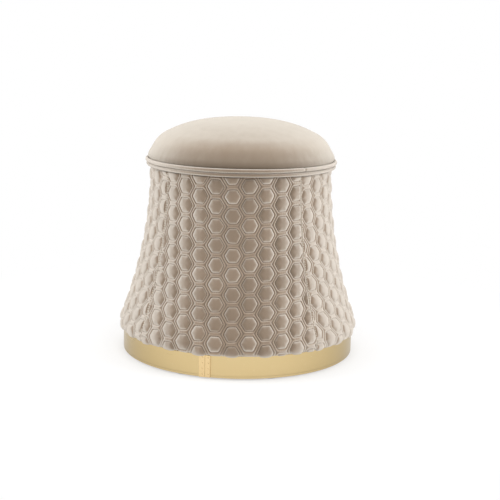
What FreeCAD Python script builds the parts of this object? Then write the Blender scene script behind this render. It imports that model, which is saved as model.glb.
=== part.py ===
import FreeCAD, Part
import math
import os
import re
import Sketcher
from FreeCAD import Placement, Rotation, Vector

# A round upholstered pouf: a domed seat on a bell-shaped skirt of four quilted panels, with a double welt
# between them and a brass-banded plinth below. Millimetres, +Z up, the floor at zero, the front toward -Y.

# Driving sizes, in millimetres, degrees and counts.
SIZES = {
    # Overall form
    "overall_height": 440,
    "crown_rise": 80,
    "seat_radius": 170,
    "shoulder_radius": 52,
    "skirt_inset": 6,
    "flare_radius": 771,
    "hem_roll_radius": 13,
    "layer_gap": 0.3,
    # Quilted panels
    "panel_count": 4,
    "panel_thickness": 4.5,
    "panel_seam": 0.3,
    "panel_seam_gap": 0.3,
    "hem_flange_width": 12.5,
    "quilt_pitch": 33.8,
    "quilt_relief": 4.5,
    "quilt_tilt": 2,
    "quilt_shift_across": 32,
    "quilt_shift_down": 17,
    "pad_width": 26,
    "pad_draft": 1.8,
    "pad_root": 1.5,
    "pad_margin": 1.5,
    # Padding, edge roll and skin
    "padding_thickness": 7.7,
    "padding_joint": 0.3,
    "hem_edge_radius": 3.7,
    "skin_thickness": 2.7,
    "skin_joint": 0.5,
    "skin_lap": 2,
    # Frame
    "rib_count": 8,
    "rib_thickness": 15,
    "rib_depth": 45,
    "tenon_width": 25,
    "tenon_room": 0.2,
    "base_board_thickness": 18,
    "base_board_width": 96,
    "seat_ring_thickness": 18,
    "seat_ring_width": 50,
    "waist_ring_thickness": 12,
    "waist_ring_width": 40,
    "waist_notch": 22,
    # Seat
    "cover_thickness": 2,
    "cover_lip_width": 9,
    "cover_lip_gap": 0.3,
    "wadding_thickness": 8,
    "foam_base_thickness": 25.3,
    "strap_width": 50,
    "strap_thickness": 1.2,
    "strap_end_gap": 5,
    "strap_end_room": 0.5,
    "strap_ramp": 3,
    # Double welt
    "welt_radius": 3.4,
    "welt_cloth": 0.9,
    "welt_flange": 0.7,
    "welt_flange_width": 9,
    "welt_gap": 0.8,
    "upper_welt_bed": 0.2,
    "lower_welt_bed": 0.2,
    "lower_welt_inset": 2,
    # Plinth
    "plinth_inset": 3.5,
    "plinth_top": 43,
    "plinth_width": 38,
    "band_thickness": 1.2,
    "band_bottom": 2.5,
    "band_joint": 1,
    "joint_angle": -99,
    "plate_width": 21,
    "plate_thickness": 1.2,
    "plate_end_gap": 0.5,
    "plate_margin": 0.8,
    "plate_groove": 1.8,
    "plate_groove_shift": 1.2,
    "plate_rib_height": 1,
    "pin_rows": 4,
    "pin_radius": 0.8,
    "pin_depth": 6,
    "pin_head_radius": 1.4,
    "pin_head_height": 0.6,
    "dust_cover_thickness": 0.7,
    "dust_cover_gap": 2,
    "glide_count": 8,
    "glide_height": 4,
    "glide_radius": 12,
    "glide_edge": 1,
    "glide_inset": 16,
    # Fasteners
    "screw_room": 0.1,
    "glide_screw_head": 3.6,
    "glide_screw_core": 1.75,
    "glide_screw_length": 18,
    "glide_screw_sink": 0.8,
    "plinth_screw_count": 8,
    "plinth_screw_head": 4.6,
    "plinth_screw_core": 2.5,
    "plinth_screw_length": 49,
    "plinth_screw_inset": 30,
    "plinth_screw_sink": 10,
    "rib_screw_head": 4,
    "rib_screw_core": 2,
    "rib_screw_length": 50,
    "rib_screw_inset": 5.7,
    "staple_crown": 10,
    "staple_leg": 8,
    "staple_wire": 1,
    "staple_inset": 8,
    "dust_staple_count": 16,
}

doc = FreeCAD.newDocument("Pouf")
sheet = doc.addObject("Spreadsheet::Sheet", "Dims")
for row, (alias, number) in enumerate(SIZES.items(), start=1):
    sheet.set(f"A{row}", alias)
    sheet.set(f"B{row}", str(number))
    sheet.setAlias(f"B{row}", alias)
doc.recompute()

# Levels and radii that follow from the driving sizes, as formulas over the sheet.
WELT_TOP = "(overall_height - crown_rise)"
UPPER_WELT_LEVEL = f"({WELT_TOP} - welt_radius + upper_welt_bed)"
LOWER_WELT_LEVEL = f"({UPPER_WELT_LEVEL} - 2 * welt_radius - welt_gap)"
UPPER_FLANGE_TOP = f"({UPPER_WELT_LEVEL} - welt_radius + upper_welt_bed)"
LOWER_FLANGE_TOP = f"({LOWER_WELT_LEVEL} + welt_radius - screw_room)"
SKIRT_TOP = f"({LOWER_WELT_LEVEL} - welt_radius + lower_welt_bed)"
SKIRT_RADIUS = "(seat_radius - skirt_inset)"
FLARE_CENTRE = f"({SKIRT_RADIUS} + flare_radius)"


def flare(depth, level):
    """Radius, at a level, of the bell surface that lies a depth inside the face of the skirt."""
    return f"({FLARE_CENTRE} - sqrt((flare_radius + {depth})^2 - ({SKIRT_TOP} - {level})^2))"


PANEL_TOP = f"({LOWER_FLANGE_TOP} - welt_flange - panel_seam_gap)"
PADDING_FACE = "(panel_thickness + layer_gap)"
PADDING_BACK = f"({PADDING_FACE} + padding_thickness)"
SKIN_FACE = f"({PADDING_BACK} + layer_gap)"
SKIN_BACK = f"({SKIN_FACE} + skin_thickness)"
FRAME_FACE = f"({SKIN_BACK} + layer_gap)"
RIB_BACK = f"({FRAME_FACE} + rib_depth)"
RIB_MIDDLE = f"({FRAME_FACE} + rib_depth / 2)"

HEM_LOW = "(plinth_top + layer_gap)"
HEM_LEVEL = f"({HEM_LOW} + hem_roll_radius)"
HEM_RADIUS = flare("hem_roll_radius", HEM_LEVEL)
HEM_INNER = "(hem_roll_radius - panel_thickness)"

BOARD_LOW = f"({HEM_LOW} + panel_thickness + layer_gap)"
BOARD_TOP = f"({BOARD_LOW} + base_board_thickness)"
SEAT_RING_LOW = f"({SKIRT_TOP} - seat_ring_thickness)"
WAIST_LOW = f"(({BOARD_TOP} + {SEAT_RING_LOW} - waist_ring_thickness) / 2)"
WAIST_TOP = f"({WAIST_LOW} + waist_ring_thickness)"
WAIST_SEAT = flare(f"({RIB_BACK} - waist_notch)", WAIST_TOP)

PLINTH_RADIUS = f"({HEM_RADIUS} + hem_roll_radius - plinth_inset)"
PLINTH_MIDDLE = "((glide_height + plinth_top) / 2)"
RING_OUTER = f"({PLINTH_RADIUS} - band_thickness - layer_gap)"
RING_INNER = f"({PLINTH_RADIUS} - plinth_width)"
PLATE_BACK = f"({PLINTH_RADIUS} + screw_room)"
PLATE_FACE = f"({PLATE_BACK} + plate_thickness)"
PLATE_RIB_FACE = f"({PLATE_FACE} + plate_rib_height)"
DUST_COVER_TOP = f"({BOARD_LOW} - layer_gap)"
DUST_COVER_LOW = f"({DUST_COVER_TOP} - dust_cover_thickness)"
DUST_COVER_RADIUS = f"({RING_INNER} - dust_cover_gap)"

CROWN_RADIUS = ("(((seat_radius - shoulder_radius)^2 + crown_rise^2 - shoulder_radius^2)"
                " / (2 * (crown_rise - shoulder_radius)))")
SHOULDER_CENTRE = "(seat_radius - shoulder_radius)"
WADDING_FACE = "(cover_thickness + layer_gap)"
WADDING_BACK = f"({WADDING_FACE} + wadding_thickness)"
FOAM_FACE = f"({WADDING_BACK} + layer_gap)"
STRAP_TOP = f"({SKIRT_TOP} + strap_thickness)"
FOAM_LOW = f"({STRAP_TOP} + strap_thickness + layer_gap)"
FOAM_SPLIT = f"({FOAM_LOW} + foam_base_thickness)"
COVER_LIP = f"({UPPER_FLANGE_TOP} + cover_lip_gap)"
SEAT_RING_OUTER = flare(FRAME_FACE, SKIRT_TOP)
SEAT_RING_INNER = f"({SEAT_RING_OUTER} - seat_ring_width)"
STRAP_REACH = f"({SEAT_RING_OUTER} - strap_end_gap)"
STRAP_TAIL = "(layer_gap + strap_ramp + staple_inset + strap_end_room)"
STRAP_EDGE = f"((sqrt(2 * {STRAP_REACH}^2 - {STRAP_TAIL}^2) - {STRAP_TAIL}) / 2)"
STRAP_SPACING = f"({STRAP_EDGE} - strap_width / 2)"

GLIDE_CIRCLE = f"({PLINTH_RADIUS} - glide_inset)"
PLINTH_SCREW_CIRCLE = f"({PLINTH_RADIUS} - plinth_screw_inset)"
PLINTH_SCREW_SEAT = "(glide_height + plinth_screw_sink)"
RIB_SCREW_LOW_CIRCLE = f"({flare(RIB_BACK, BOARD_TOP)} + rib_screw_inset)"
RIB_SCREW_HIGH_CIRCLE = f"({flare(RIB_BACK, SEAT_RING_LOW)} + rib_screw_inset)"
RIB_TURN = "(180 / rib_count)"
GLIDE_TURN = "(180 / glide_count)"

nodes = []


def formula(text):
    """Turns the plain size names in a formula into references to the sheet."""
    return re.sub(r"[a-z][a-z_]*", lambda word: f"Dims.{word[0]}" if word[0] in SIZES else word[0], text)


def size(text):
    """Works a formula out to a number."""
    result = sheet.evalExpression(formula(text))
    return float(getattr(result, "Value", result))


def node(item, label):
    """Names a finished sub-part and lists it for writing out."""
    item.Label = label
    nodes.append(item)
    return item


# Sketches

def origin_item(body, role):
    """A plane or axis of the body's own origin."""
    return next(item for item in body.Origin.OriginFeatures if item.Role == role)


def new_sketch(body, plane, turn="0", lift="0"):
    """Starts a sketch on an origin plane, turned about the upright axis and lifted along its normal."""
    upright = Vector(0, 0, 1) if plane == "XY_Plane" else Vector(0, 1, 0)
    sketch = body.newObject("Sketcher::SketchObject", "Outline")
    sketch.AttachmentSupport = (origin_item(body, plane), [""])
    sketch.MapMode = "FlatFace"
    sketch.AttachmentOffset = Placement(Vector(), Rotation(upright, size(turn)))
    if plane == "XY_Plane":
        sketch.setExpression("AttachmentOffset.Base.z", formula(lift))
    else:
        sketch.setExpression("AttachmentOffset.Base.x", formula(f"({lift}) * sin({turn})"))
        sketch.setExpression("AttachmentOffset.Base.z", formula(f"({lift}) * cos({turn})"))
    return sketch


def hold(sketch, edge, end, across, up):
    """Holds one point of a sketch at two distances from the sketch's origin."""
    for kind, axis, text in (("DistanceX", -2, across), ("DistanceY", -1, up)):
        if text == "0":
            sketch.addConstraint(Sketcher.Constraint("PointOnObject", edge, end, axis))
        else:
            index = sketch.addConstraint(Sketcher.Constraint(kind, -1, 1, edge, end, size(text)))
            sketch.setExpression(f"Constraints[{index}]", formula(text))


def hold_radius(sketch, edge, radius):
    """Holds the radius of an arc or circle of a sketch."""
    index = sketch.addConstraint(Sketcher.Constraint("Radius", edge, size(radius)))
    sketch.setExpression(f"Constraints[{index}]", formula(radius))


def arc_edge(start, end, radius, turn):
    """The shorter arc between two points, counter-clockwise where turn is 1 and clockwise where it is -1."""
    chord = end - start
    to_centre = Vector(-chord.y, chord.x, 0).normalize() * turn
    height = math.sqrt(radius**2 - (chord.Length / 2) ** 2)
    circle = Part.Circle((start + end) / 2 + to_centre * height, Vector(0, 0, 1), radius)
    first, last = (start, end) if turn > 0 else (end, start)
    return Part.ArcOfCircle(circle, circle.parameter(first), circle.parameter(last))


def draw(sketch, corners):
    """Draws a closed outline. The edge after a corner (across, up) is straight, and the edge after a corner
    (across, up, radius, turn) is an arc."""
    points = [Vector(size(corner[0]), size(corner[1]), 0) for corner in corners]
    edges = []
    for index, corner in enumerate(corners):
        start, end = points[index], points[(index + 1) % len(points)]
        if len(corner) == 2:
            edges.append((sketch.addGeometry(Part.LineSegment(start, end)), 1, 2))
            continue
        radius, turn = corner[2:]
        edge = sketch.addGeometry(arc_edge(start, end, size(radius), turn))
        edges.append((edge, 1, 2) if turn > 0 else (edge, 2, 1))
        hold_radius(sketch, edge, radius)
    for index, (edge, begin, finish) in enumerate(edges):
        following, following_begin, _ = edges[(index + 1) % len(edges)]
        sketch.addConstraint(Sketcher.Constraint("Coincident", edge, finish, following, following_begin))
        hold(sketch, edge, begin, *corners[index][:2])


def draw_circle(sketch, across, up, radius):
    """Draws a circle held at its centre."""
    centre = Vector(size(across), size(up), 0)
    edge = sketch.addGeometry(Part.Circle(centre, Vector(0, 0, 1), size(radius)))
    hold(sketch, edge, 3, across, up)
    hold_radius(sketch, edge, radius)


def box_corners(left, low, right, high):
    """Corners of an upright rectangle."""
    return [(left, low), (right, low), (right, high), (left, high)]


# Features

def new_body(name):
    """Starts a body."""
    return doc.addObject("PartDesign::Body", name)


def turned(body, sketch, sweep="360", kind="Revolution", axis=None):
    """Turns a sketch about the body's upright axis, or about its own upright line at a distance."""
    reference = "V_Axis"
    if axis is not None:
        line = sketch.addGeometry(Part.LineSegment(Vector(size(axis), 0, 0), Vector(size(axis), 1, 0)), True)
        hold(sketch, line, 1, axis, "0")
        hold(sketch, line, 2, axis, "overall_height")
        reference = "Axis0"
    feature = body.newObject(f"PartDesign::{kind}", kind)
    feature.Profile = sketch
    feature.ReferenceAxis = (sketch, [reference])
    feature.Midplane = True
    feature.setExpression("Angle", formula(sweep))
    doc.recompute()
    return feature


def pushed(body, sketch, length, kind="Pad", side="One side", backward=False):
    """Pads or pockets a sketch by a length."""
    feature = body.newObject(f"PartDesign::{kind}", kind)
    feature.Profile = sketch
    feature.SideType = side
    feature.Reversed = backward
    feature.setExpression("Length", formula(length))
    doc.recompute()
    return feature


def repeated(body, feature, count):
    """Repeats a feature round the upright axis."""
    pattern = body.newObject("PartDesign::PolarPattern", "Round")
    pattern.Originals = [feature]
    pattern.Axis = (origin_item(body, "Z_Axis"), [""])
    pattern.Angle = 360
    pattern.setExpression("Occurrences", formula(count))
    body.Tip = pattern
    doc.recompute()
    return pattern


def turned_body(name, corners, sweep="360", turn="0"):
    """A body turned from one outline."""
    body = new_body(name)
    sketch = new_sketch(body, "XZ_Plane", turn)
    draw(sketch, corners)
    turned(body, sketch, sweep)
    return body


def screw_corners(screw, circle, seat, way):
    """Half outline of a countersunk screw. The head's flat is at the seat and way is 1 for a tip above it."""
    sign = "+" if way > 0 else "-"
    neck = f"({seat} {sign} ({screw}_head - {screw}_core))"
    taper = f"({seat} {sign} ({screw}_length - 2 * {screw}_core))"
    tip = f"({seat} {sign} {screw}_length)"
    core = f"({circle} + {screw}_core)"
    return [(circle, seat), (f"({circle} + {screw}_head)", seat), (core, neck), (core, taper), (circle, tip)]


def hole_corners(screw, circle, seat, way, sink):
    """Half outline of the hole for that screw, which starts a sink before the head."""
    sign, back = ("+", "-") if way > 0 else ("-", "+")
    mouth = f"({seat} {back} {sink})"
    neck = f"({seat} {sign} ({screw}_head - {screw}_core))"
    end = f"({seat} {sign} ({screw}_length + screw_room))"
    head = f"({circle} + {screw}_head + screw_room)"
    core = f"({circle} + {screw}_core + screw_room)"
    return [(circle, mouth), (head, mouth), (head, seat), (core, neck), (core, end), (circle, end)]


def screws(label, screw, circle, seat, way, turn, count):
    """A node of like screws round the upright axis."""
    body = new_body(label)
    sketch = new_sketch(body, "XZ_Plane", turn)
    draw(sketch, screw_corners(screw, circle, seat, way))
    repeated(body, turned(body, sketch, axis=circle), count)
    return node(body, label)


def drill(body, screw, circle, seat, way, sink="layer_gap", turn="0", count=None):
    """Cuts the holes for a ring of screws, or one hole where no count is given."""
    solid_before = body.Shape.Volume
    sketch = new_sketch(body, "XZ_Plane", turn)
    draw(sketch, hole_corners(screw, circle, seat, way, sink))
    groove = turned(body, sketch, kind="Groove", axis=circle)
    if count is not None:
        repeated(body, groove, count)
    if body.Shape.Volume >= solid_before:
        raise ValueError(f"the {screw} holes cut nothing from {body.Name}")


def mortises(body, middle, top, depth):
    """Cuts the slots for the rib tenons down from a level."""
    solid_before = body.Shape.Volume
    sketch = new_sketch(body, "XY_Plane", RIB_TURN, top)
    reach = "(tenon_width / 2 + tenon_room)"
    side = "(rib_thickness / 2 + tenon_room)"
    draw(sketch, box_corners(f"({middle} - {reach})", f"(0 - {side})", f"({middle} + {reach})", side))
    repeated(body, pushed(body, sketch, depth, "Pocket"), "rib_count")
    if body.Shape.Volume >= solid_before:
        raise ValueError(f"the mortises cut nothing from {body.Name}")


def staple():
    """One staple, its crown along Y on top of zero and its legs down."""
    crown, leg, wire = size("staple_crown"), size("staple_leg"), size("staple_wire")
    solid = Part.makeBox(wire, crown, wire, Vector(-wire / 2, -crown / 2, 0))
    for side in (-crown / 2, crown / 2 - wire):
        solid = solid.fuse(Part.makeBox(wire, wire, leg, Vector(-wire / 2, side, -leg)))
    return solid.removeSplitter()


def staples(label, placements):
    """A node of like staples."""
    group = doc.addObject("Part::Feature", label)
    group.Shape = Part.makeCompound([staple().transformed(place.toMatrix()) for place in placements])
    group.Placement = Placement()
    return node(group, label)


def pierced(label, base, tool):
    """A node that is a body with the legs of its staples cut out."""
    cut = doc.addObject("Part::Cut", label)
    cut.Base = base
    cut.Tool = tool
    return node(cut, label)


def layer_corners(face, back, low, high):
    """Outline of a layer of the bell wall between two depths and two levels."""
    return [
        (flare(face, high), high, f"(flare_radius + {face})", 1),
        (flare(face, low), low),
        (flare(back, low), low, f"(flare_radius + {back})", -1),
        (flare(back, high), high),
    ]


# Plinth

def pin_sketch(body, radius, lift, rows):
    """Circles of the joint plate's pins, on a plane across the plate, for rows counted from the floor up."""
    sketch = new_sketch(body, "YZ_Plane", "joint_angle", lift)
    for row in rows:
        level = f"(band_bottom + ({row} + 0.5) * (plinth_top - band_bottom) / pin_rows)"
        for near, far in ((PLATE_EDGES[1], PLATE_EDGES[2]), (PLATE_EDGES[3], PLATE_EDGES[4])):
            draw_circle(sketch, f"(({near} + {far}) / 2)", level, radius)
    return sketch


def pin_holes(body, rows):
    """Cuts the pin holes outward from the depth that the pins reach."""
    solid_before = body.Shape.Volume
    sketch = pin_sketch(body, "(pin_radius + screw_room)", f"({RING_OUTER} - pin_depth - screw_room)", rows)
    past_plate = f"({PLATE_RIB_FACE} - {RING_OUTER} + pin_depth + plate_width)"
    pushed(body, sketch, past_plate, "Pocket", backward=True)
    if body.Shape.Volume >= solid_before:
        raise ValueError(f"the pin holes cut nothing from {body.Name}")


PLATE_EDGES = [
    "(0 - plate_width / 2)",
    "(plate_margin - plate_width / 2)",
    "(plate_groove_shift - plate_groove / 2)",
    "(plate_groove_shift + plate_groove / 2)",
    "(plate_width / 2 - plate_margin)",
    "(plate_width / 2)",
]
ALL_PIN_ROWS = range(int(size("pin_rows")))
LOWER_PIN_ROWS = [row for row in ALL_PIN_ROWS if row < size("pin_rows") / 2]
UPPER_PIN_ROWS = [row for row in ALL_PIN_ROWS if row >= size("pin_rows") / 2]


def floor_glides():
    """Nylon discs under the plinth, each with a sunk hole for its screw."""
    def out(distance):
        return f"({GLIDE_CIRCLE} + {distance})"

    head = out("glide_screw_head + screw_room")
    core = out("glide_screw_core + screw_room")
    corners = [
        (head, "0"),
        (out("glide_radius - glide_edge"), "0"),
        (out("glide_radius"), "glide_edge"),
        (out("glide_radius"), "glide_height"),
        (core, "glide_height"),
        (core, "(glide_screw_sink + glide_screw_head - glide_screw_core)"),
        (head, "glide_screw_sink"),
    ]
    body = new_body("floor_glides")
    sketch = new_sketch(body, "XZ_Plane", GLIDE_TURN)
    draw(sketch, corners)
    repeated(body, turned(body, sketch, axis=GLIDE_CIRCLE), "glide_count")
    node(body, "floor_glides")
    screws("glide_screws", "glide_screw", GLIDE_CIRCLE, "glide_screw_sink", 1, GLIDE_TURN, "glide_count")


def plinth_rings():
    """Two stacked fibreboard rings and the screws that draw them up against the base board."""
    stack = (
        ("plinth_ring_lower", "glide_height", PLINTH_MIDDLE, LOWER_PIN_ROWS),
        ("plinth_ring_upper", PLINTH_MIDDLE, "plinth_top", UPPER_PIN_ROWS),
    )
    for label, low, high, rows in stack:
        body = turned_body(label, box_corners(RING_INNER, low, RING_OUTER, high))
        drill(body, "plinth_screw", PLINTH_SCREW_CIRCLE, PLINTH_SCREW_SEAT, 1,
              "(plinth_screw_sink + layer_gap)", count="plinth_screw_count")
        if low == "glide_height":
            drill(body, "glide_screw", GLIDE_CIRCLE, "glide_screw_sink", 1,
                  turn=GLIDE_TURN, count="glide_count")
        pin_holes(body, rows)
        node(body, label)
    screws("plinth_screws", "plinth_screw", PLINTH_SCREW_CIRCLE, PLINTH_SCREW_SEAT, 1,
           "0", "plinth_screw_count")


def brass_band():
    """Strip round the plinth whose ends meet under the joint plate."""
    inner = f"({PLINTH_RADIUS} - band_thickness)"
    sweep = f"(360 - band_joint / {PLINTH_RADIUS} * 180 / pi)"
    corners = box_corners(inner, "band_bottom", PLINTH_RADIUS, "plinth_top")
    body = turned_body("brass_band", corners, sweep, "(joint_angle + 180)")
    pin_holes(body, ALL_PIN_ROWS)
    node(body, "brass_band")


def joint_plate():
    """Plate over the joint of the band with two raised upright ribs, and its pins."""
    def corner(radius, across, turn=None):
        point = (f"sqrt({radius}^2 - {across}^2)", across)
        return point if turn is None else (*point, radius, turn)

    corners = []
    for index, (near, far) in enumerate(zip(PLATE_EDGES, PLATE_EDGES[1:])):
        radius = PLATE_RIB_FACE if index % 2 else PLATE_FACE
        corners += [corner(radius, near, 1), corner(radius, far)]
    corners += [corner(PLATE_BACK, PLATE_EDGES[-1], -1), corner(PLATE_BACK, PLATE_EDGES[0])]
    body = new_body("joint_plate")
    sketch = new_sketch(body, "XY_Plane", "joint_angle", "(band_bottom + plate_end_gap)")
    draw(sketch, corners)
    pushed(body, sketch, "(plinth_top - band_bottom - 2 * plate_end_gap)")
    pin_holes(body, ALL_PIN_ROWS)
    node(body, "joint_plate")

    pins = new_body("joint_plate_pins")
    shanks = pin_sketch(pins, "pin_radius", f"({RING_OUTER} - pin_depth)", ALL_PIN_ROWS)
    pushed(pins, shanks, f"({PLATE_RIB_FACE} - {RING_OUTER} + pin_depth)")
    heads = pin_sketch(pins, "pin_head_radius", PLATE_RIB_FACE, ALL_PIN_ROWS)
    pushed(pins, heads, "pin_head_height")
    node(pins, "joint_plate_pins")


# Frame

def base_board():
    """Plywood bottom board with the rib mortises, the dust cover under it and the cover's staples."""
    inner = f"({flare(FRAME_FACE, BOARD_TOP)} - base_board_width)"
    corners = [
        (inner, BOARD_LOW),
        (flare(FRAME_FACE, BOARD_LOW), BOARD_LOW, f"(flare_radius + {FRAME_FACE})", -1),
        (flare(FRAME_FACE, BOARD_TOP), BOARD_TOP),
        (inner, BOARD_TOP),
    ]
    board = turned_body("base_board_blank", corners)
    mortises(board, flare(RIB_MIDDLE, BOARD_TOP), BOARD_TOP, "base_board_thickness")
    drill(board, "rib_screw", RIB_SCREW_LOW_CIRCLE, BOARD_LOW, 1, turn=RIB_TURN, count="rib_count")
    drill(board, "plinth_screw", PLINTH_SCREW_CIRCLE, PLINTH_SCREW_SEAT, 1, count="plinth_screw_count")
    cloth_corners = box_corners("0", DUST_COVER_LOW, DUST_COVER_RADIUS, DUST_COVER_TOP)
    cloth = turned_body("dust_cover_blank", cloth_corners)

    count = int(size("dust_staple_count"))
    upside_down = Rotation(Vector(1, 0, 0), 180)
    places = []
    for index in range(count):
        turn = Rotation(Vector(0, 0, 1), 360 * (index + 0.5) / count)
        point = Vector(size(DUST_COVER_RADIUS) - size("staple_inset"), 0, size(DUST_COVER_LOW))
        places.append(Placement(turn.multVec(point), turn.multiply(upside_down)))
    group = staples("dust_cover_staples", places)
    pierced("dust_cover", cloth, group)
    pierced("base_board", board, group)
    screws("rib_screws_lower", "rib_screw", RIB_SCREW_LOW_CIRCLE, BOARD_LOW, 1, RIB_TURN, "rib_count")


def ribs():
    """Curved plywood uprights, each with a tenon at both ends and a notch for the waist ring."""
    low_tenon = flare(RIB_MIDDLE, BOARD_TOP)
    high_tenon = flare(RIB_MIDDLE, SEAT_RING_LOW)
    front_arc = (f"(flare_radius + {FRAME_FACE})", -1)
    back_arc = (f"(flare_radius + {RIB_BACK})", 1)
    corners = [
        (flare(RIB_BACK, BOARD_TOP), BOARD_TOP),
        (f"({low_tenon} - tenon_width / 2)", BOARD_TOP),
        (f"({low_tenon} - tenon_width / 2)", BOARD_LOW),
        (f"({low_tenon} + tenon_width / 2)", BOARD_LOW),
        (f"({low_tenon} + tenon_width / 2)", BOARD_TOP),
        (flare(FRAME_FACE, BOARD_TOP), BOARD_TOP, *front_arc),
        (flare(FRAME_FACE, SEAT_RING_LOW), SEAT_RING_LOW),
        (f"({high_tenon} + tenon_width / 2)", SEAT_RING_LOW),
        (f"({high_tenon} + tenon_width / 2)", SKIRT_TOP),
        (f"({high_tenon} - tenon_width / 2)", SKIRT_TOP),
        (f"({high_tenon} - tenon_width / 2)", SEAT_RING_LOW),
        (flare(RIB_BACK, SEAT_RING_LOW), SEAT_RING_LOW, *back_arc),
        (flare(RIB_BACK, WAIST_TOP), WAIST_TOP),
        (WAIST_SEAT, WAIST_TOP),
        (WAIST_SEAT, WAIST_LOW),
        (flare(RIB_BACK, WAIST_LOW), WAIST_LOW, *back_arc),
    ]
    count = int(size("rib_count"))
    for index in range(count):
        body = new_body(f"rib_{index + 1}")
        sketch = new_sketch(body, "XZ_Plane")
        draw(sketch, corners)
        pushed(body, sketch, "rib_thickness", side="Symmetric")
        drill(body, "rib_screw", RIB_SCREW_LOW_CIRCLE, BOARD_LOW, 1)
        drill(body, "rib_screw", RIB_SCREW_HIGH_CIRCLE, SKIRT_TOP, -1)
        body.Placement = Placement(Vector(), Rotation(Vector(0, 0, 1), size(RIB_TURN) + 360 * index / count))
        node(body, f"rib_{index + 1}")


def waist_ring():
    """Plywood ring in the notches of the ribs."""
    outer = f"({WAIST_SEAT} - tenon_room)"
    inner = f"({outer} - waist_ring_width)"
    node(turned_body("waist_ring", box_corners(inner, WAIST_LOW, outer, WAIST_TOP)), "waist_ring")


def skin_staves():
    """Bent thin board from the base board's edge to the seat ring's edge, jointed on the ribs."""
    count = int(size("rib_count"))
    sweep = f"(360 / rib_count - skin_joint / {SKIRT_RADIUS} * 180 / pi)"
    corners = layer_corners(SKIN_FACE, SKIN_BACK, f"({BOARD_LOW} + skin_lap)", SKIRT_TOP)
    for index in range(count):
        body = turned_body(f"skin_stave_{index + 1}", corners, sweep)
        body.Placement = Placement(Vector(), Rotation(Vector(0, 0, 1), 360 * index / count))
        node(body, f"skin_stave_{index + 1}")


# Seat

def half_strap(offset):
    """Half length of a strap whose middle lies an offset from the centre, so that it ends on the ring."""
    return f"sqrt({STRAP_REACH}^2 - ({offset} + strap_width / 2)^2)"


def seat_ring_and_webbing():
    """Plywood ring, three straps along X, three along Y over them, and the staples at their ends."""
    corners = [
        (SEAT_RING_INNER, SEAT_RING_LOW),
        (flare(FRAME_FACE, SEAT_RING_LOW), SEAT_RING_LOW, f"(flare_radius + {FRAME_FACE})", -1),
        (SEAT_RING_OUTER, SKIRT_TOP),
        (SEAT_RING_INNER, SKIRT_TOP),
    ]
    ring = turned_body("seat_ring_blank", corners)
    mortises(ring, flare(RIB_MIDDLE, SEAT_RING_LOW), SKIRT_TOP, "seat_ring_thickness")
    drill(ring, "rib_screw", RIB_SCREW_HIGH_CIRCLE, SKIRT_TOP, -1, turn=RIB_TURN, count="rib_count")

    lower = new_body("webbing_lower_blank")
    upper = new_body("webbing_upper_blank")
    crossing = f"({STRAP_SPACING} + strap_width / 2 + layer_gap)"
    ramp_end = f"({crossing} + strap_ramp)"
    over_top = f"({STRAP_TOP} + strap_thickness)"
    places = []
    for side in (-1, 0, 1):
        offset = f"({side} * {STRAP_SPACING})"
        end = half_strap(f"({abs(side)} * {STRAP_SPACING})")
        flat = new_sketch(lower, "XY_Plane", lift=SKIRT_TOP)
        near = f"({offset} - strap_width / 2)"
        far = f"({offset} + strap_width / 2)"
        draw(flat, box_corners(f"(0 - {end})", near, end, far))
        pushed(lower, flat, "strap_thickness")
        bent = new_sketch(upper, "YZ_Plane", lift=offset)
        draw(bent, [
            (f"(0 - {end})", SKIRT_TOP), (f"(0 - {ramp_end})", SKIRT_TOP), (f"(0 - {crossing})", STRAP_TOP),
            (crossing, STRAP_TOP), (ramp_end, SKIRT_TOP), (end, SKIRT_TOP),
            (end, STRAP_TOP), (ramp_end, STRAP_TOP), (crossing, over_top),
            (f"(0 - {crossing})", over_top), (f"(0 - {ramp_end})", STRAP_TOP), (f"(0 - {end})", STRAP_TOP),
        ])
        pushed(upper, bent, "strap_width", side="Symmetric")
        for end_side in (-1, 1):
            for across in (-1, 1):
                along = end_side * (size(end) - size("staple_inset"))
                aside = size(offset) + across * size("strap_width") / 4
                places.append(Placement(Vector(along, aside, size(STRAP_TOP)), Rotation()))
                quarter = Rotation(Vector(0, 0, 1), 90)
                places.append(Placement(Vector(aside, along, size(STRAP_TOP)), quarter))
    group = staples("webbing_staples", places)
    pierced("seat_ring", ring, group)
    pierced("webbing_lower", lower, group)
    pierced("webbing_upper", upper, group)
    screws("rib_screws_upper", "rib_screw", RIB_SCREW_HIGH_CIRCLE, SKIRT_TOP, -1, RIB_TURN, "rib_count")


def crown_meet(depth):
    """Where the shoulder arc passes into the crown arc, at a depth inside the seat cover."""
    share = f"(({CROWN_RADIUS} - {depth}) / ({CROWN_RADIUS} - shoulder_radius))"
    crown_centre = f"(overall_height - {CROWN_RADIUS})"
    return f"({SHOULDER_CENTRE} * {share})", f"({crown_centre} + ({WELT_TOP} - {crown_centre}) * {share})"


def dome_out(depth, low):
    """Corners of the dome's section from its foot up to the axis, at a depth inside the cover."""
    return [
        (f"(seat_radius - {depth})", low),
        (f"(seat_radius - {depth})", WELT_TOP, f"(shoulder_radius - {depth})", 1),
        (*crown_meet(depth), f"({CROWN_RADIUS} - {depth})", 1),
        ("0", f"(overall_height - {depth})"),
    ]


def dome_back(depth, low):
    """The same corners taken from the axis down."""
    return [
        ("0", f"(overall_height - {depth})", f"({CROWN_RADIUS} - {depth})", -1),
        (*crown_meet(depth), f"(shoulder_radius - {depth})", -1),
        (f"(seat_radius - {depth})", WELT_TOP),
        (f"(seat_radius - {depth})", low),
    ]


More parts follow.
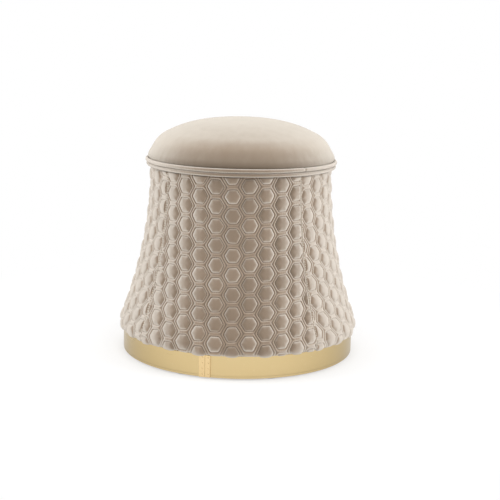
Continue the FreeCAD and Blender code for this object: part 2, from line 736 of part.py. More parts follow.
def seat_soft_parts():
    """Foam disc, crown foam, wadding and the domed cover with its turned-in seam edge."""
    split_out = (f"({SHOULDER_CENTRE} + sqrt((shoulder_radius - {FOAM_FACE})^2"
                 f" - ({FOAM_SPLIT} - {WELT_TOP})^2))")
    side = f"(seat_radius - {FOAM_FACE})"
    base = [
        ("0", FOAM_LOW),
        (side, FOAM_LOW),
        (side, WELT_TOP, f"(shoulder_radius - {FOAM_FACE})", 1),
        (split_out, FOAM_SPLIT),
        ("0", FOAM_SPLIT),
    ]
    crown = [
        ("0", FOAM_SPLIT),
        (split_out, FOAM_SPLIT, f"(shoulder_radius - {FOAM_FACE})", 1),
        (*crown_meet(FOAM_FACE), f"({CROWN_RADIUS} - {FOAM_FACE})", 1),
        ("0", f"(overall_height - {FOAM_FACE})"),
    ]
    lip_top = f"({COVER_LIP} + cover_thickness)"
    wadding_low = f"({lip_top} + layer_gap)"
    wadding = dome_out(WADDING_FACE, wadding_low) + dome_back(WADDING_BACK, wadding_low)
    lip_inner = "(seat_radius - cover_lip_width)"
    cover = dome_out("0", COVER_LIP) + dome_back("cover_thickness", lip_top)
    cover += [(lip_inner, lip_top), (lip_inner, COVER_LIP)]
    pieces = (("seat_foam_base", base), ("seat_foam_crown", crown),
              ("seat_wadding", wadding), ("seat_cover", cover))
    for label, corners in pieces:
        node(turned_body(label, corners), label)


def welts():
    """Two piped cords, each a filler cord in a cloth tube with its sewing flange."""
    flange_in = "(seat_radius - welt_flange_width)"
    upper_radius = "(seat_radius + screw_room + welt_radius)"
    lower_radius = f"({upper_radius} - lower_welt_inset)"
    cords = (
        ("upper_welt", upper_radius, UPPER_WELT_LEVEL, UPPER_FLANGE_TOP),
        ("lower_welt", lower_radius, LOWER_WELT_LEVEL, LOWER_FLANGE_TOP),
    )
    core = "(welt_radius - welt_cloth - screw_room)"
    for label, radius, level, flange_top in cords:
        cord = doc.addObject("Part::Torus", f"{label}_cord")
        cord.setExpression("Radius1", formula(radius))
        cord.setExpression("Radius2", formula(core))
        cord.setExpression("Placement.Base.z", formula(level))
        node(cord, f"{label}_cord")

        cover = new_body(f"{label}_cover")
        tube = new_sketch(cover, "XZ_Plane")
        draw_circle(tube, radius, level, "welt_radius")
        draw_circle(tube, radius, level, "(welt_radius - welt_cloth)")
        turned(cover, tube)
        flange = new_sketch(cover, "XZ_Plane")
        draw(flange, box_corners(flange_in, f"({flange_top} - welt_flange)", radius, flange_top))
        turned(cover, flange)
        node(cover, f"{label}_cover")


# Skirt

PANEL_SIDES = {"front": -90, "right": 0, "back": 90, "left": 180}


def side_padding():
    """Foam sheet behind each panel."""
    sweep = f"(360 / panel_count - padding_joint / {SKIRT_RADIUS} * 180 / pi)"
    corners = layer_corners(PADDING_FACE, PADDING_BACK, f"({HEM_LEVEL} + {HEM_INNER})", SKIRT_TOP)
    for side, turn in PANEL_SIDES.items():
        body = turned_body(f"side_padding_{side}", corners, sweep)
        body.Placement = Placement(Vector(), Rotation(Vector(0, 0, 1), turn))
        node(body, f"side_padding_{side}")


def hem_roll():
    """Soft edge roll in the round of the hem, just outside the skin."""
    roll = doc.addObject("Part::Torus", "hem_roll")
    roll.setExpression("Radius1", formula(f"({HEM_RADIUS} + {HEM_INNER} - hem_edge_radius - layer_gap)"))
    roll.setExpression("Radius2", formula("hem_edge_radius"))
    roll.setExpression("Placement.Base.z", formula(HEM_LEVEL))
    node(roll, "hem_roll")


def hem_meet(depth):
    """Where the flare arc passes into the hem arc, at a depth inside the panel's face."""
    share = f"((flare_radius + {depth}) / (flare_radius + hem_roll_radius))"
    across = f"({FLARE_CENTRE} - ({FLARE_CENTRE} - {HEM_RADIUS}) * {share})"
    return across, f"({SKIRT_TOP} - ({SKIRT_TOP} - {HEM_LEVEL}) * {share})"


def panel_ground():
    """The panel without its raised pads: the bell wall, the rolled hem and the flange under the board."""
    inner_low = f"({HEM_LOW} + panel_thickness)"
    flange_in = f"({HEM_RADIUS} - hem_flange_width)"
    corners = [
        (flare("0", PANEL_TOP), PANEL_TOP, "flare_radius", 1),
        (*hem_meet("0"), "hem_roll_radius", -1),
        (HEM_RADIUS, HEM_LOW),
        (flange_in, HEM_LOW),
        (flange_in, inner_low),
        (HEM_RADIUS, inner_low, HEM_INNER, 1),
        (*hem_meet("panel_thickness"), "(flare_radius + panel_thickness)", -1),
        (flare("panel_thickness", PANEL_TOP), PANEL_TOP),
    ]
    sweep = f"(360 / panel_count - panel_seam / {SKIRT_RADIUS} * 180 / pi)"
    return turned_body("panel_ground", corners, sweep)


def pad_solid(across, down):
    """One raised hexagon at a place on the unrolled panel, measured from the middle of its top edge."""
    flare_radius = size("flare_radius")
    slope = down / flare_radius
    radius = size(FLARE_CENTRE) - flare_radius * math.cos(slope)
    turn = across / radius
    outward = Vector(math.cos(turn), math.sin(turn), 0)
    sideways = Vector(-math.sin(turn), math.cos(turn), 0)
    upright = Vector(0, 0, 1)
    middle = outward * radius + upright * (size(SKIRT_TOP) - flare_radius * math.sin(slope))
    normal = outward * math.cos(slope) + upright * math.sin(slope)
    downward = outward * math.sin(slope) - upright * math.cos(slope)
    draft = size("pad_draft") / size("quilt_relief")
    rings = []
    for height in (-size("pad_root"), size("quilt_relief")):
        reach = (size("pad_width") / 2 - draft * height) / math.cos(math.pi / 6)
        corners = []
        for corner in range(6):
            angle = corner * math.pi / 3 - math.radians(size("quilt_tilt"))
            offset = sideways * math.cos(angle) + downward * math.sin(angle)
            corners.append(middle + normal * height + offset * reach)
        rings.append(Part.makePolygon(corners + corners[:1]))
    return Part.makeLoft(rings, True, True), radius


def pad_places():
    """Places of the hexagons on the unrolled panel: upright columns, every other one half a pitch lower."""
    pitch = size("quilt_pitch")
    column_pitch = pitch * math.cos(math.pi / 6)
    tilt = math.radians(size("quilt_tilt"))
    columns = math.ceil(math.pi * size(HEM_RADIUS) / size("panel_count") / column_pitch) + 1
    rows = math.ceil(size(SKIRT_TOP) / pitch) + 1
    for column in range(-columns, columns + 1):
        for row in range(-2, rows):
            aside = column * column_pitch
            below = (row + (column % 2) / 2) * pitch
            across = aside * math.cos(tilt) + below * math.sin(tilt) + size("quilt_shift_across")
            down = below * math.cos(tilt) - aside * math.sin(tilt) + size("quilt_shift_down")
            yield across, down


def quilted_panels():
    """Four like panels: the ground with the hexagons that fall inside its seams, the welt and the hem."""
    low = size(hem_meet("0")[1]) + size("pad_margin")
    high = size(SKIRT_TOP) - size("layer_gap")
    half_turn = 180 / size("panel_count")
    reach = size("pad_width") / 2 / math.cos(math.pi / 6)
    lost_turn = math.degrees(size("pad_margin") / size(SKIRT_RADIUS))
    zone = Part.makeCylinder(2 * size(HEM_RADIUS), high - low, Vector(0, 0, low), Vector(0, 0, 1),
                             2 * (half_turn - lost_turn))
    zone.rotate(Vector(), Vector(0, 0, 1), lost_turn - half_turn)
    least = size("pad_width") ** 2 * size("quilt_relief") / 10
    pads = []
    for across, down in pad_places():
        if not -reach < down < size("flare_radius"):
            continue
        pad, radius = pad_solid(across, down)
        if abs(across) - reach > radius * math.radians(half_turn):
            continue
        trimmed = pad.common(zone)
        pads += [solid for solid in trimmed.Solids if solid.Volume > least]
    raised = doc.addObject("Part::Feature", "quilt_pads")
    raised.Shape = Part.makeCompound(pads)
    raised.Placement = Placement()
    panel = doc.addObject("Part::Fuse", "quilted_panel")
    panel.Base = panel_ground()
    panel.Tool = raised
    doc.recompute()
    for side, turn in PANEL_SIDES.items():
        copy = doc.addObject("Part::Feature", f"quilted_panel_{side}")
        copy.Shape = panel.Shape
        copy.Placement = Placement(Vector(), Rotation(Vector(0, 0, 1), turn))
        node(copy, f"quilted_panel_{side}")


floor_glides()
plinth_rings()
brass_band()
joint_plate()
base_board()
ribs()
waist_ring()
skin_staves()
seat_ring_and_webbing()
seat_soft_parts()
welts()
side_padding()
hem_roll()
quilted_panels()
doc.recompute()

for item in doc.Objects:
    if "Invalid" in item.State or "Error" in item.State:
        raise ValueError(f"{item.Label} is {item.State}")
os.makedirs("parts", exist_ok=True)
for item in nodes:
    if item.Shape.isNull() or not item.Shape.isValid():
        raise ValueError(f"{item.Label} has no valid shape")
    item.Shape.exportStep(os.path.join("parts", f"{item.Label}.step"))
print(f"{len(nodes)} nodes written")
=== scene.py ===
"""Looks of a round pouf: velvet dome, double welt, quilted skirt and brass plinth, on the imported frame."""

import logging
import math
from dataclasses import dataclass
from enum import Enum, IntEnum
from typing import Any, Iterable, Optional, Sequence, Union

import bmesh
import bpy
import numpy as np
from mathutils import Matrix, Vector


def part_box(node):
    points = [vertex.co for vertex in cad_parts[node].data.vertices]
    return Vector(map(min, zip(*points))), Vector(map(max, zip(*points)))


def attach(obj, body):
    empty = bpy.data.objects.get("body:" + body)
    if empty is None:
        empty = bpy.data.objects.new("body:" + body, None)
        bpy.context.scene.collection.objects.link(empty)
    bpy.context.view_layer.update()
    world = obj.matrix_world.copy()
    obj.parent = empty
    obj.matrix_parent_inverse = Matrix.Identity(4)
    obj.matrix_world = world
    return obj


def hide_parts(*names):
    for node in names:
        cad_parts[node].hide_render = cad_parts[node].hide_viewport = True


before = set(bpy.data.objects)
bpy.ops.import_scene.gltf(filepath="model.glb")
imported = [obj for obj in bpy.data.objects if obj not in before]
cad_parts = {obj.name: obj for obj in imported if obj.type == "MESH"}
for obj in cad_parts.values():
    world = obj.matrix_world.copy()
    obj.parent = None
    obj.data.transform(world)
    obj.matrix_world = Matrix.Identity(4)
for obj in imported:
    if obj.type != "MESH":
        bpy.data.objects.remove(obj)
log = logging.getLogger("pouf")

Array = np.ndarray
Colour = tuple[float, float, float]
Span = tuple[float, float]
Knots = tuple[Span, ...]
Key = Union[str, int]
Value = Union["Wire", float, Sequence[float]]

MM = 0.001
TINY = 1e-9
QUARTER = math.pi / 2
ROOT = "root"
WHITE = (1.0, 1.0, 1.0, 1.0)


class Side(Enum):
    """The four quilted panels, each with the bearing of its middle in degrees."""

    FRONT = -90
    RIGHT = 0
    BACK = 90
    LEFT = 180

    @property
    def label(self) -> str:
        """The panel's name as it stands in the frame's node names."""
        return self.name.lower()

    @property
    def seed(self) -> int:
        """Start of the panel's own run of seeds."""
        return 50 * list(Side).index(self)


class Draw(IntEnum):
    """What each seed of a panel's run is for."""

    DENTS = 1
    PUCKERS = 2
    SLACK = 3
    SAG = 4
    CREASES = 6


class Grain(Enum):
    """How a sheet material's inner make-up shows in its colour."""

    PLIES = "plies"
    FIBRES = "fibres"
    WEAVE = "weave"
    PLAIN = "plain"


# Node graphs


class Wire:
    """An output socket that can be used in arithmetic."""

    def __init__(self, graph: "Graph", socket: bpy.types.NodeSocket) -> None:
        """Ties a socket to the graph that it stands in."""
        self.graph = graph
        self.socket = socket

    def _with(self, operation: str, first: Value, second: Value = 0.0) -> "Wire":
        """Adds one maths node on one value or two."""
        return self.graph.add("ShaderNodeMath", {"operation": operation}, {0: first, 1: second})["Value"]

    def __add__(self, other: Value) -> "Wire":
        """This value plus another."""
        return self._with("ADD", self, other)

    def __radd__(self, other: Value) -> "Wire":
        """Another value plus this one."""
        return self._with("ADD", other, self)

    def __sub__(self, other: Value) -> "Wire":
        """This value less another."""
        return self._with("SUBTRACT", self, other)

    def __rsub__(self, other: Value) -> "Wire":
        """Another value less this one."""
        return self._with("SUBTRACT", other, self)

    def __mul__(self, other: Value) -> "Wire":
        """This value times another."""
        return self._with("MULTIPLY", self, other)

    def __rmul__(self, other: Value) -> "Wire":
        """Another value times this one."""
        return self._with("MULTIPLY", other, self)

    def __pow__(self, other: Value) -> "Wire":
        """This value to the power of another."""
        return self._with("POWER", self, other)

    def __rpow__(self, other: Value) -> "Wire":
        """Another value to the power of this one."""
        return self._with("POWER", other, self)

    def at_least(self, other: Value) -> "Wire":
        """The greater of this value and another."""
        return self._with("MAXIMUM", self, other)

    def wave(self) -> "Wire":
        """The sine of the value."""
        return self._with("SINE", self)

    def stepped(self, low: float, high: float) -> "Wire":
        """The value mapped from low..high to 0..1 along a smooth step."""
        settings = {"interpolation_type": "SMOOTHSTEP"}
        return self.graph.add("ShaderNodeMapRange", settings, {0: self, 1: low, 2: high})["Result"]


class Placed:
    """A node in a graph, whose outputs are read by name or place."""

    def __init__(self, graph: "Graph", node: bpy.types.Node) -> None:
        """Ties a node to the graph that it stands in."""
        self.graph = graph
        self.node = node

    def __getitem__(self, key: Key) -> Wire:
        """One of the node's outputs."""
        return Wire(self.graph, self.node.outputs[key])


class Graph:
    """The node graph of a material, of the world or of a modifier."""

    def __init__(self, tree: bpy.types.NodeTree) -> None:
        """Takes a tree over and empties it."""
        self.tree = tree
        self.tree.nodes.clear()

    def add(self, kind: str, settings: Optional[dict[str, Any]] = None,
            values: Optional[dict[Key, Any]] = None) -> Placed:
        """Adds a node.

        Args:
            kind: The node's type.
            settings: Properties, set before the sockets.
            values: Socket values or wires by socket name or place.

        Returns:
            The node, ready to be read from.
        """
        node = self.tree.nodes.new(kind)
        for key, setting in (settings or {}).items():
            setattr(node, key, setting)
        for key, value in (values or {}).items():
            if isinstance(value, Wire):
                self.tree.links.new(value.socket, node.inputs[key])
            else:
                node.inputs[key].default_value = value
        return Placed(self, node)


class SurfaceGraph(Graph):
    """The node graph of one material."""

    # Places of a Mix node's sockets when it mixes colours
    MIX_FACTOR, MIX_FIRST, MIX_SECOND, MIX_RESULT = 0, 6, 7, 2

    def __init__(self, name: str) -> None:
        """Starts an empty material."""
        self.material = bpy.data.materials.new(name)
        self.material.use_nodes = True
        super().__init__(self.material.node_tree)

    def blend(self, factor: Value, first: Value, second: Value) -> Wire:
        """Mixes two colours.

        Args:
            factor: Share of the second colour.
            first, second: Plain colours or wires.

        Returns:
            The mixed colour.
        """
        colours = [each if isinstance(each, Wire) else (*each, 1.0) for each in (first, second)]
        values = {self.MIX_FACTOR: factor, self.MIX_FIRST: colours[0], self.MIX_SECOND: colours[1]}
        return self.add("ShaderNodeMix", {"data_type": "RGBA"}, values)[self.MIX_RESULT]

    def tint(self, colour: Value, level: Value) -> Wire:
        """Scales a colour by a level."""
        scaled = self.add("ShaderNodeVectorMath", {"operation": "SCALE"}, {0: colour, "Scale": level})
        return scaled["Vector"]

    def coords(self, stretch: Sequence[float] = (1.0, 1.0, 1.0)) -> Wire:
        """Object coordinates, stretched along the axes."""
        place = self.add("ShaderNodeTexCoord")["Object"]
        return self.add("ShaderNodeVectorMath", {"operation": "MULTIPLY"}, {0: place, 1: stretch})["Vector"]

    def axes(self) -> Placed:
        """Object coordinates, each on an output of its own."""
        return self.add("ShaderNodeSeparateXYZ", None, {0: self.coords()})

    def noise(self, scale: float, detail: float = 2.0, stretch: Sequence[float] = (1.0, 1.0, 1.0)) -> Wire:
        """Cloud noise, from 0 to 1, at a number of lumps per metre."""
        values = {"Vector": self.coords(stretch), "Scale": scale, "Detail": detail}
        return self.add("ShaderNodeTexNoise", None, values)["Fac"]

    def facing(self) -> Wire:
        """How far the surface turns away from the eye: 0 face on, 1 edge on."""
        return self.add("ShaderNodeLayerWeight", None, {"Blend": 0.5})["Facing"]

    def bump(self, height: Wire, distance: float, strength: float) -> Wire:
        """A normal that follows a height field of the given depth."""
        values = {"Strength": strength, "Distance": distance, "Height": height}
        return self.add("ShaderNodeBump", None, values)["Normal"]

    def finish(self, values: dict[str, Any]) -> bpy.types.Material:
        """Closes the graph with one surface shader and returns the material."""
        shader = self.add("ShaderNodeBsdfPrincipled", None, values)
        return self.close(shader["BSDF"])

    def close(self, surface: Wire) -> bpy.types.Material:
        """Sends a shader to the output and returns the material."""
        self.add("ShaderNodeOutputMaterial", None, {"Surface": surface})
        return self.material


# Finishes, with the scales of their patterns in lumps per metre


@dataclass(frozen=True)
class Velvet:
    """Velvet with a painted sheen: dark face on and painted pale edge on, standing in for the nap's shine at
    grazing angles.
    """

    name: str
    face: Colour = (0.256, 0.194, 0.142)
    edge: Colour = (0.530, 0.480, 0.424)
    rise: float = 2.3
    palest: float = 0.97
    crease: float = 0.70
    crease_fade: float = 0.75
    sheen: float = 0.10
    roughness: float = 0.82
    unevenness: float = 0.2
    tufts: float = 1500.0
    tuft_shade: float = 0.24
    nap: float = 70.0
    nap_share: float = 0.20
    clouds: float = 9.0
    cloud_share: float = 0.12

    def make(self) -> bpy.types.Material:
        """Builds the material.

        Returns:
            The material, whose painted shade and painted highlights follow the mesh's pile attribute.
        """
        graph = SurfaceGraph(self.name)
        tufts = graph.noise(self.tufts, detail=3.0)
        nap = graph.noise(self.nap, detail=3.0, stretch=(1.0, 1.0, 0.35))
        cloud = graph.noise(self.clouds)
        strokes = (nap - 0.5) * self.nap_share + (cloud - 0.5) * self.cloud_share
        # Painted sheen: the colour is mixed from face to edge by how far the surface turns from the eye,
        # with the nap's random tone
        lean = (1.0 - (1.0 - graph.facing()) ** self.rise + strokes).stepped(0.0, self.palest)
        colour = graph.blend(lean, self.face, self.edge)
        pile = graph.add("ShaderNodeAttribute", {"attribute_name": "pile"})["Fac"]
        # Painted shade and painted highlights from the vertex attribute, faded where the painted sheen is
        # pale
        depth = (pile - 1.0) * (1.0 - self.crease) * (1.0 - lean * self.crease_fade)
        level = (1.0 - self.tuft_shade / 2 + tufts * self.tuft_shade) * (1.0 + depth)
        return graph.finish({
            "Base Color": graph.tint(colour, level),
            "Roughness": self.roughness + (tufts - 0.5) * self.unevenness,
            "Normal": graph.bump(tufts, distance=0.35 * MM, strength=0.5),
            "Specular IOR Level": 0.15,
            "Sheen Weight": self.sheen,
            "Sheen Roughness": 0.4,
            "Sheen Tint": (1.0, 0.95, 0.88, 1.0),
        })


@dataclass(frozen=True)
class Metal:
    """Satin metal with a fine lay along the band, faint clouding, worn specks and a painted shade edge on,
    standing in for a dimmer reflection.
    """

    name: str
    colour: Colour
    worn: Colour
    roughness: float
    lay: Sequence[float] = (3.0, 3.0, 900.0)
    falloff: float = 0.36
    clouds: float = 14.0
    specks: float = 260.0
    bare: Span = (0.62, 0.80)
    wear: float = 0.35
    lay_unevenness: float = 0.08
    cloud_unevenness: float = 0.10

    def make(self) -> bpy.types.Material:
        """Builds the material.

        Returns:
            The material.
        """
        graph = SurfaceGraph(self.name)
        lines = graph.noise(1.0, detail=3.0, stretch=self.lay)
        cloud = graph.noise(self.clouds, detail=3.0)
        specks = graph.noise(self.specks, detail=4.0).stepped(*self.bare)
        wear = specks * self.wear + cloud * self.wear
        # Painted reflection: the colour is painted darker where the surface turns edge on
        painted_edge_shade = 1.0 - graph.facing().stepped(0.0, 0.9) * self.falloff
        rough = self.roughness + (lines - 0.5) * self.lay_unevenness
        return graph.finish({
            "Base Color": graph.tint(graph.blend(wear, self.colour, self.worn), painted_edge_shade),
            "Roughness": rough + (cloud - 0.5) * self.cloud_unevenness,
            "Metallic": 1.0,
            "Normal": graph.bump(lines, distance=0.02 * MM, strength=0.35),
        })


@dataclass(frozen=True)
class Board:
    """A raw sheet material, such as plywood, fibreboard, webbing or cloth."""

    name: str
    colour: Colour
    second: Colour
    grain: Grain
    roughness: float = 0.75
    scale: float = 90.0
    unevenness: float = 0.2
    ply: float = 3.0 * MM
    yarn: float = 2.2 * MM

    def make(self) -> bpy.types.Material:
        """Builds the material.

        Returns:
            The material.
        """
        graph = SurfaceGraph(self.name)
        mottle = graph.noise(self.scale, detail=4.0)
        fine = graph.noise(self.scale * 9.0)
        pattern = self._pattern(graph, mottle, fine)
        return graph.finish({
            "Base Color": graph.blend(pattern.stepped(0.2, 0.8), self.colour, self.second),
            "Roughness": self.roughness + (mottle - 0.5) * self.unevenness,
            "Normal": graph.bump(pattern + fine * 0.4, distance=0.25 * MM, strength=0.5),
            "Specular IOR Level": 0.25,
        })

    def _pattern(self, graph: SurfaceGraph, mottle: Wire, fine: Wire) -> Wire:
        """Works the grain out.

        Args:
            graph: Where its nodes go.
            mottle, fine: Coarse and fine noise.

        Returns:
            The pattern that drives both height and colour.
        """
        if self.grain is Grain.PLIES:
            plies = graph.axes()["Z"] * (math.tau / self.ply)
            streaks = graph.noise(1.0, detail=3.0, stretch=(30.0, 420.0, 420.0))
            return (plies + mottle * 0.6).wave() * 0.22 + streaks * 0.6 + 0.2
        if self.grain is Grain.FIBRES:
            return mottle * 0.5 + fine * 0.5
        if self.grain is Grain.WEAVE:
            place, turns = graph.axes(), math.tau / self.yarn
            return (place["X"] * turns).wave() * (place["Y"] * turns).wave() * 0.4 + mottle * 0.3 + 0.35
        return mottle * 0.6 + fine * 0.4


@dataclass(frozen=True)
class Thread:
    """Sewing thread with a slight gloss and a twist."""

    name: str
    colour: Colour
    second: Colour
    twists: float = 2200.0
    roughness: float = 0.5
    unevenness: float = 0.2

    def make(self) -> bpy.types.Material:
        """Builds the material.

        Returns:
            The material.
        """
        graph = SurfaceGraph(self.name)
        twist = graph.noise(self.twists)
        return graph.finish({
            "Base Color": graph.blend(twist, self.colour, self.second),
            "Roughness": self.roughness + (twist - 0.5) * self.unevenness,
            "Normal": graph.bump(twist, distance=0.2 * MM, strength=0.4),
            "Sheen Weight": 0.2,
        })


# Meshes


def smooth_step(values: Array, low: float, high: float) -> Array:
    """A smooth rise from 0 at low to 1 at high."""
    t = np.clip((values - low) / (high - low), 0.0, 1.0)
    return t * t * (3.0 - 2.0 * t)


def peak(values: Array, place: float, width: float) -> Array:
    """A smooth peak of 1 at a place, all but gone two widths away."""
    return np.exp(-(((values - place) / width) ** 2))


def ripples(across: Array, down: Array, wavelength: float, seed: int) -> Array:
    """Smooth noise from about -1 to 1, as a sum of waves.

    Args:
        across, down: Places, in the unit of the wavelength.
        wavelength: Typical length of a wave.
        seed: Picks the waves.

    Returns:
        One value for each place.
    """
    count, usual_peak = 7, 1.6
    rng = np.random.default_rng(seed)
    total = np.zeros(np.broadcast(across, down).shape)
    for bearing, phase, stretch in zip(rng.uniform(0, math.tau, count), rng.uniform(0, math.tau, count),
                                       rng.uniform(0.7, 1.5, count)):
        k = math.tau / (wavelength * stretch)
        total = total + np.sin(k * (across * math.cos(bearing) + down * math.sin(bearing)) + phase)
    return total / math.sqrt(count) / usual_peak


def along_ripples(along: Array, wavelength: float, seed: int) -> Array:
    """Smooth noise from about -1 to 1 along a line."""
    return ripples(along, along * 0, wavelength, seed)


def round_axis(radius: Array, bearing: Array, level: Array) -> Array:
    """Points round the pouf's upright axis.

    Args:
        radius, bearing, level: Their places, as arrays that broadcast together.

    Returns:
        The points, with x, y and z on the last axis.
    """
    return np.stack(np.broadcast_arrays(radius * np.cos(bearing), radius * np.sin(bearing), level), -1)


def full_circle(count: int) -> Array:
    """Bearings evenly spaced round a circle, as a row."""
    return np.linspace(0, math.tau, count, endpoint=False)[None, :]


def grid_faces(rows: int, columns: int, wrap_rows: bool, wrap_columns: bool) -> list[tuple[int, ...]]:
    """Quads of a grid of points.

    Args:
        rows, columns: Points each way.
        wrap_rows, wrap_columns: Whether the last row or column joins the first.

    Returns:
        Vertex numbers of each quad.
    """
    last_row = rows if wrap_rows else rows - 1
    last_column = columns if wrap_columns else columns - 1
    i, j = np.meshgrid(np.arange(last_row), np.arange(last_column), indexing="ij")
    down, right = (i + 1) % rows, (j + 1) % columns
    quads = np.stack([i * columns + j, down * columns + j, down * columns + right, i * columns + right], -1)
    return [tuple(quad) for quad in quads.reshape(-1, 4).tolist()]


def link_piece(name: str, mesh: bpy.types.Mesh) -> bpy.types.Object:
    """Puts a mesh into the scene as an object at the origin."""
    piece = bpy.data.objects.new(name, mesh)
    bpy.context.scene.collection.objects.link(piece)
    return piece


def new_piece(name: str, points: Array, faces: Sequence[Sequence[int]], material: bpy.types.Material,
              pile: Optional[Array] = None) -> bpy.types.Object:
    """Makes a smooth closed mesh object at the origin.

    Args:
        name: The piece's name.
        points: Vertex places in metres.
        faces: Vertex numbers of each face.
        material: Its finish.
        pile: Painted shade and light at each vertex, with the nap's random tone: plain at 1, darker below
            and paler above.

    Returns:
        The object, linked to the scene.
    """
    mesh = bpy.data.meshes.new(name)
    mesh.from_pydata(np.asarray(points).tolist(), [], faces)
    turned = bmesh.new()
    turned.from_mesh(mesh)
    bmesh.ops.recalc_face_normals(turned, faces=turned.faces)
    turned.to_mesh(mesh)
    turned.free()
    make_smooth(mesh)
    attribute = mesh.attributes.new("pile", "FLOAT", "POINT")
    attribute.data.foreach_set("value", np.ones(len(points)) if pile is None else np.asarray(pile, float))
    mesh.materials.append(material)
    return link_piece(name, mesh)


def make_smooth(mesh: bpy.types.Mesh) -> None:
    """Shades every face of a mesh smooth."""
    mesh.polygons.foreach_set("use_smooth", np.ones(len(mesh.polygons), bool))


def vertex_places(mesh: bpy.types.Mesh) -> Array:
    """The places of a mesh's vertices, one row each."""
    return np.array([vertex.co for vertex in mesh.vertices])


def evaluated_copy(piece: bpy.types.Object) -> bpy.types.Mesh:
    """The piece's mesh with its modifiers worked in."""
    graph = bpy.context.evaluated_depsgraph_get()
    return bpy.data.meshes.new_from_object(piece.evaluated_get(graph))


def settle(piece: bpy.types.Object) -> None:
    """Works a piece's modifiers into its mesh and takes them off."""
    mesh = evaluated_copy(piece)
    piece.modifiers.clear()
    piece.data = mesh


def tie(piece: bpy.types.Object) -> None:
    """Makes a piece move with the pouf's one body."""
    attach(piece, ROOT)


@dataclass(frozen=True)
class Stitch:
    """Sizes of the stitches in a row, in metres, and the seed of their small changes of size."""

    pitch: float
    length: float
    thickness: float
    seed: int


class StitchRow:
    """A Geometry Nodes graph that lays thread stitches along sewn lines."""

    INPUTS = {
        "Geometry": "NodeSocketGeometry",
        "Pitch": "NodeSocketFloat",
        "Length": "NodeSocketFloat",
        "Thickness": "NodeSocketFloat",
        "Seed": "NodeSocketInt",
        "Material": "NodeSocketMaterial",
    }
    SMALLEST, LARGEST = (0.88, 0.88, 0.88), (1.1, 1.1, 1.1)

    def __init__(self) -> None:
        """Makes the graph with its named inputs."""
        tree = bpy.data.node_groups.new("stitch_row", "GeometryNodeTree")
        sockets = tree.interface
        self.sockets = {name: sockets.new_socket(name, in_out="INPUT", socket_type=kind)
                        for name, kind in self.INPUTS.items()}
        sockets.new_socket("Geometry", in_out="OUTPUT", socket_type="NodeSocketGeometry")
        self.graph = Graph(tree)
        self._wire()

    def _wire(self) -> None:
        """Resamples the lines and sets one flattened bead of thread on each point."""
        add = self.graph.add
        given = add("NodeGroupInput")
        curve = add("GeometryNodeMeshToCurve", None, {"Mesh": given["Geometry"]})[0]
        points = add("GeometryNodeResampleCurve", {"mode": "LENGTH"},
                     {"Curve": curve, "Length": given["Pitch"]})[0]
        bead = add("GeometryNodeMeshUVSphere", None, {"Segments": 6, "Rings": 4, "Radius": 0.5})["Mesh"]
        smooth_bead = add("GeometryNodeSetShadeSmooth", None, {"Geometry": bead})[0]
        turned = add("FunctionNodeAlignRotationToVector", {"axis": "Z", "pivot_axis": "X"},
                     {"Rotation": self._along_line(), "Vector": self._outward()})[0]
        shape = add("ShaderNodeCombineXYZ", None,
                    {0: given["Length"], 1: given["Thickness"], 2: given["Thickness"]})[0]
        change = add("FunctionNodeRandomValue", {"data_type": "FLOAT_VECTOR"},
                     {0: self.SMALLEST, 1: self.LARGEST, "Seed": given["Seed"]})[0]
        scale = add("ShaderNodeVectorMath", {"operation": "MULTIPLY"}, {0: shape, 1: change})[0]
        placed = add("GeometryNodeInstanceOnPoints", None,
                     {"Points": points, "Instance": smooth_bead, "Rotation": turned, "Scale": scale})[0]
        real = add("GeometryNodeRealizeInstances", None, {0: placed})[0]
        finished = add("GeometryNodeSetMaterial", None, {0: real, "Material": given["Material"]})[0]
        add("NodeGroupOutput", None, {0: finished})

    def _along_line(self) -> Wire:
        """The turn that lays a bead along its line."""
        tangent = self.graph.add("GeometryNodeInputTangent")[0]
        return self.graph.add("FunctionNodeAlignRotationToVector", {"axis": "X"}, {"Vector": tangent})[0]

    def _outward(self) -> Wire:
        """The direction off the cloth at a point, as the lines carry it."""
        settings = {"data_type": "FLOAT_VECTOR"}
        return self.graph.add("GeometryNodeInputNamedAttribute", settings, {"Name": "outward"})["Attribute"]

    def sew(self, name: str, lines: Iterable[tuple[Array, Array]], material: bpy.types.Material,
            stitch: Stitch) -> bpy.types.Object:
        """Sews stitches along lines.

        Args:
            name: The piece's name.
            lines: Points and outward directions of each line.
            material: The thread's finish.
            stitch: Sizes of the stitches.

        Returns:
            The stitches as one mesh object.
        """
        points, outward, edges, start = [], [], [], 0
        for place, direction in lines:
            points.append(place)
            outward.append(direction)
            edges += [(k, k + 1) for k in range(start, start + len(place) - 1)]
            start += len(place)
        mesh = bpy.data.meshes.new(name)
        mesh.from_pydata(np.concatenate(points).tolist(), edges, [])
        attribute = mesh.attributes.new("outward", "FLOAT_VECTOR", "POINT")
        attribute.data.foreach_set("vector", np.concatenate(outward).ravel())
        piece = link_piece(name, mesh)
        modifier = piece.modifiers.new("stitches", "NODES")
        modifier.node_group = self.graph.tree
        values = {"Pitch": stitch.pitch, "Length": stitch.length, "Thickness": stitch.thickness,
                  "Seed": stitch.seed, "Material": material}
        for key, value in values.items():
            modifier[self.sockets[key].identifier] = value
        settle(piece)
        return piece


# Sub-assemblies


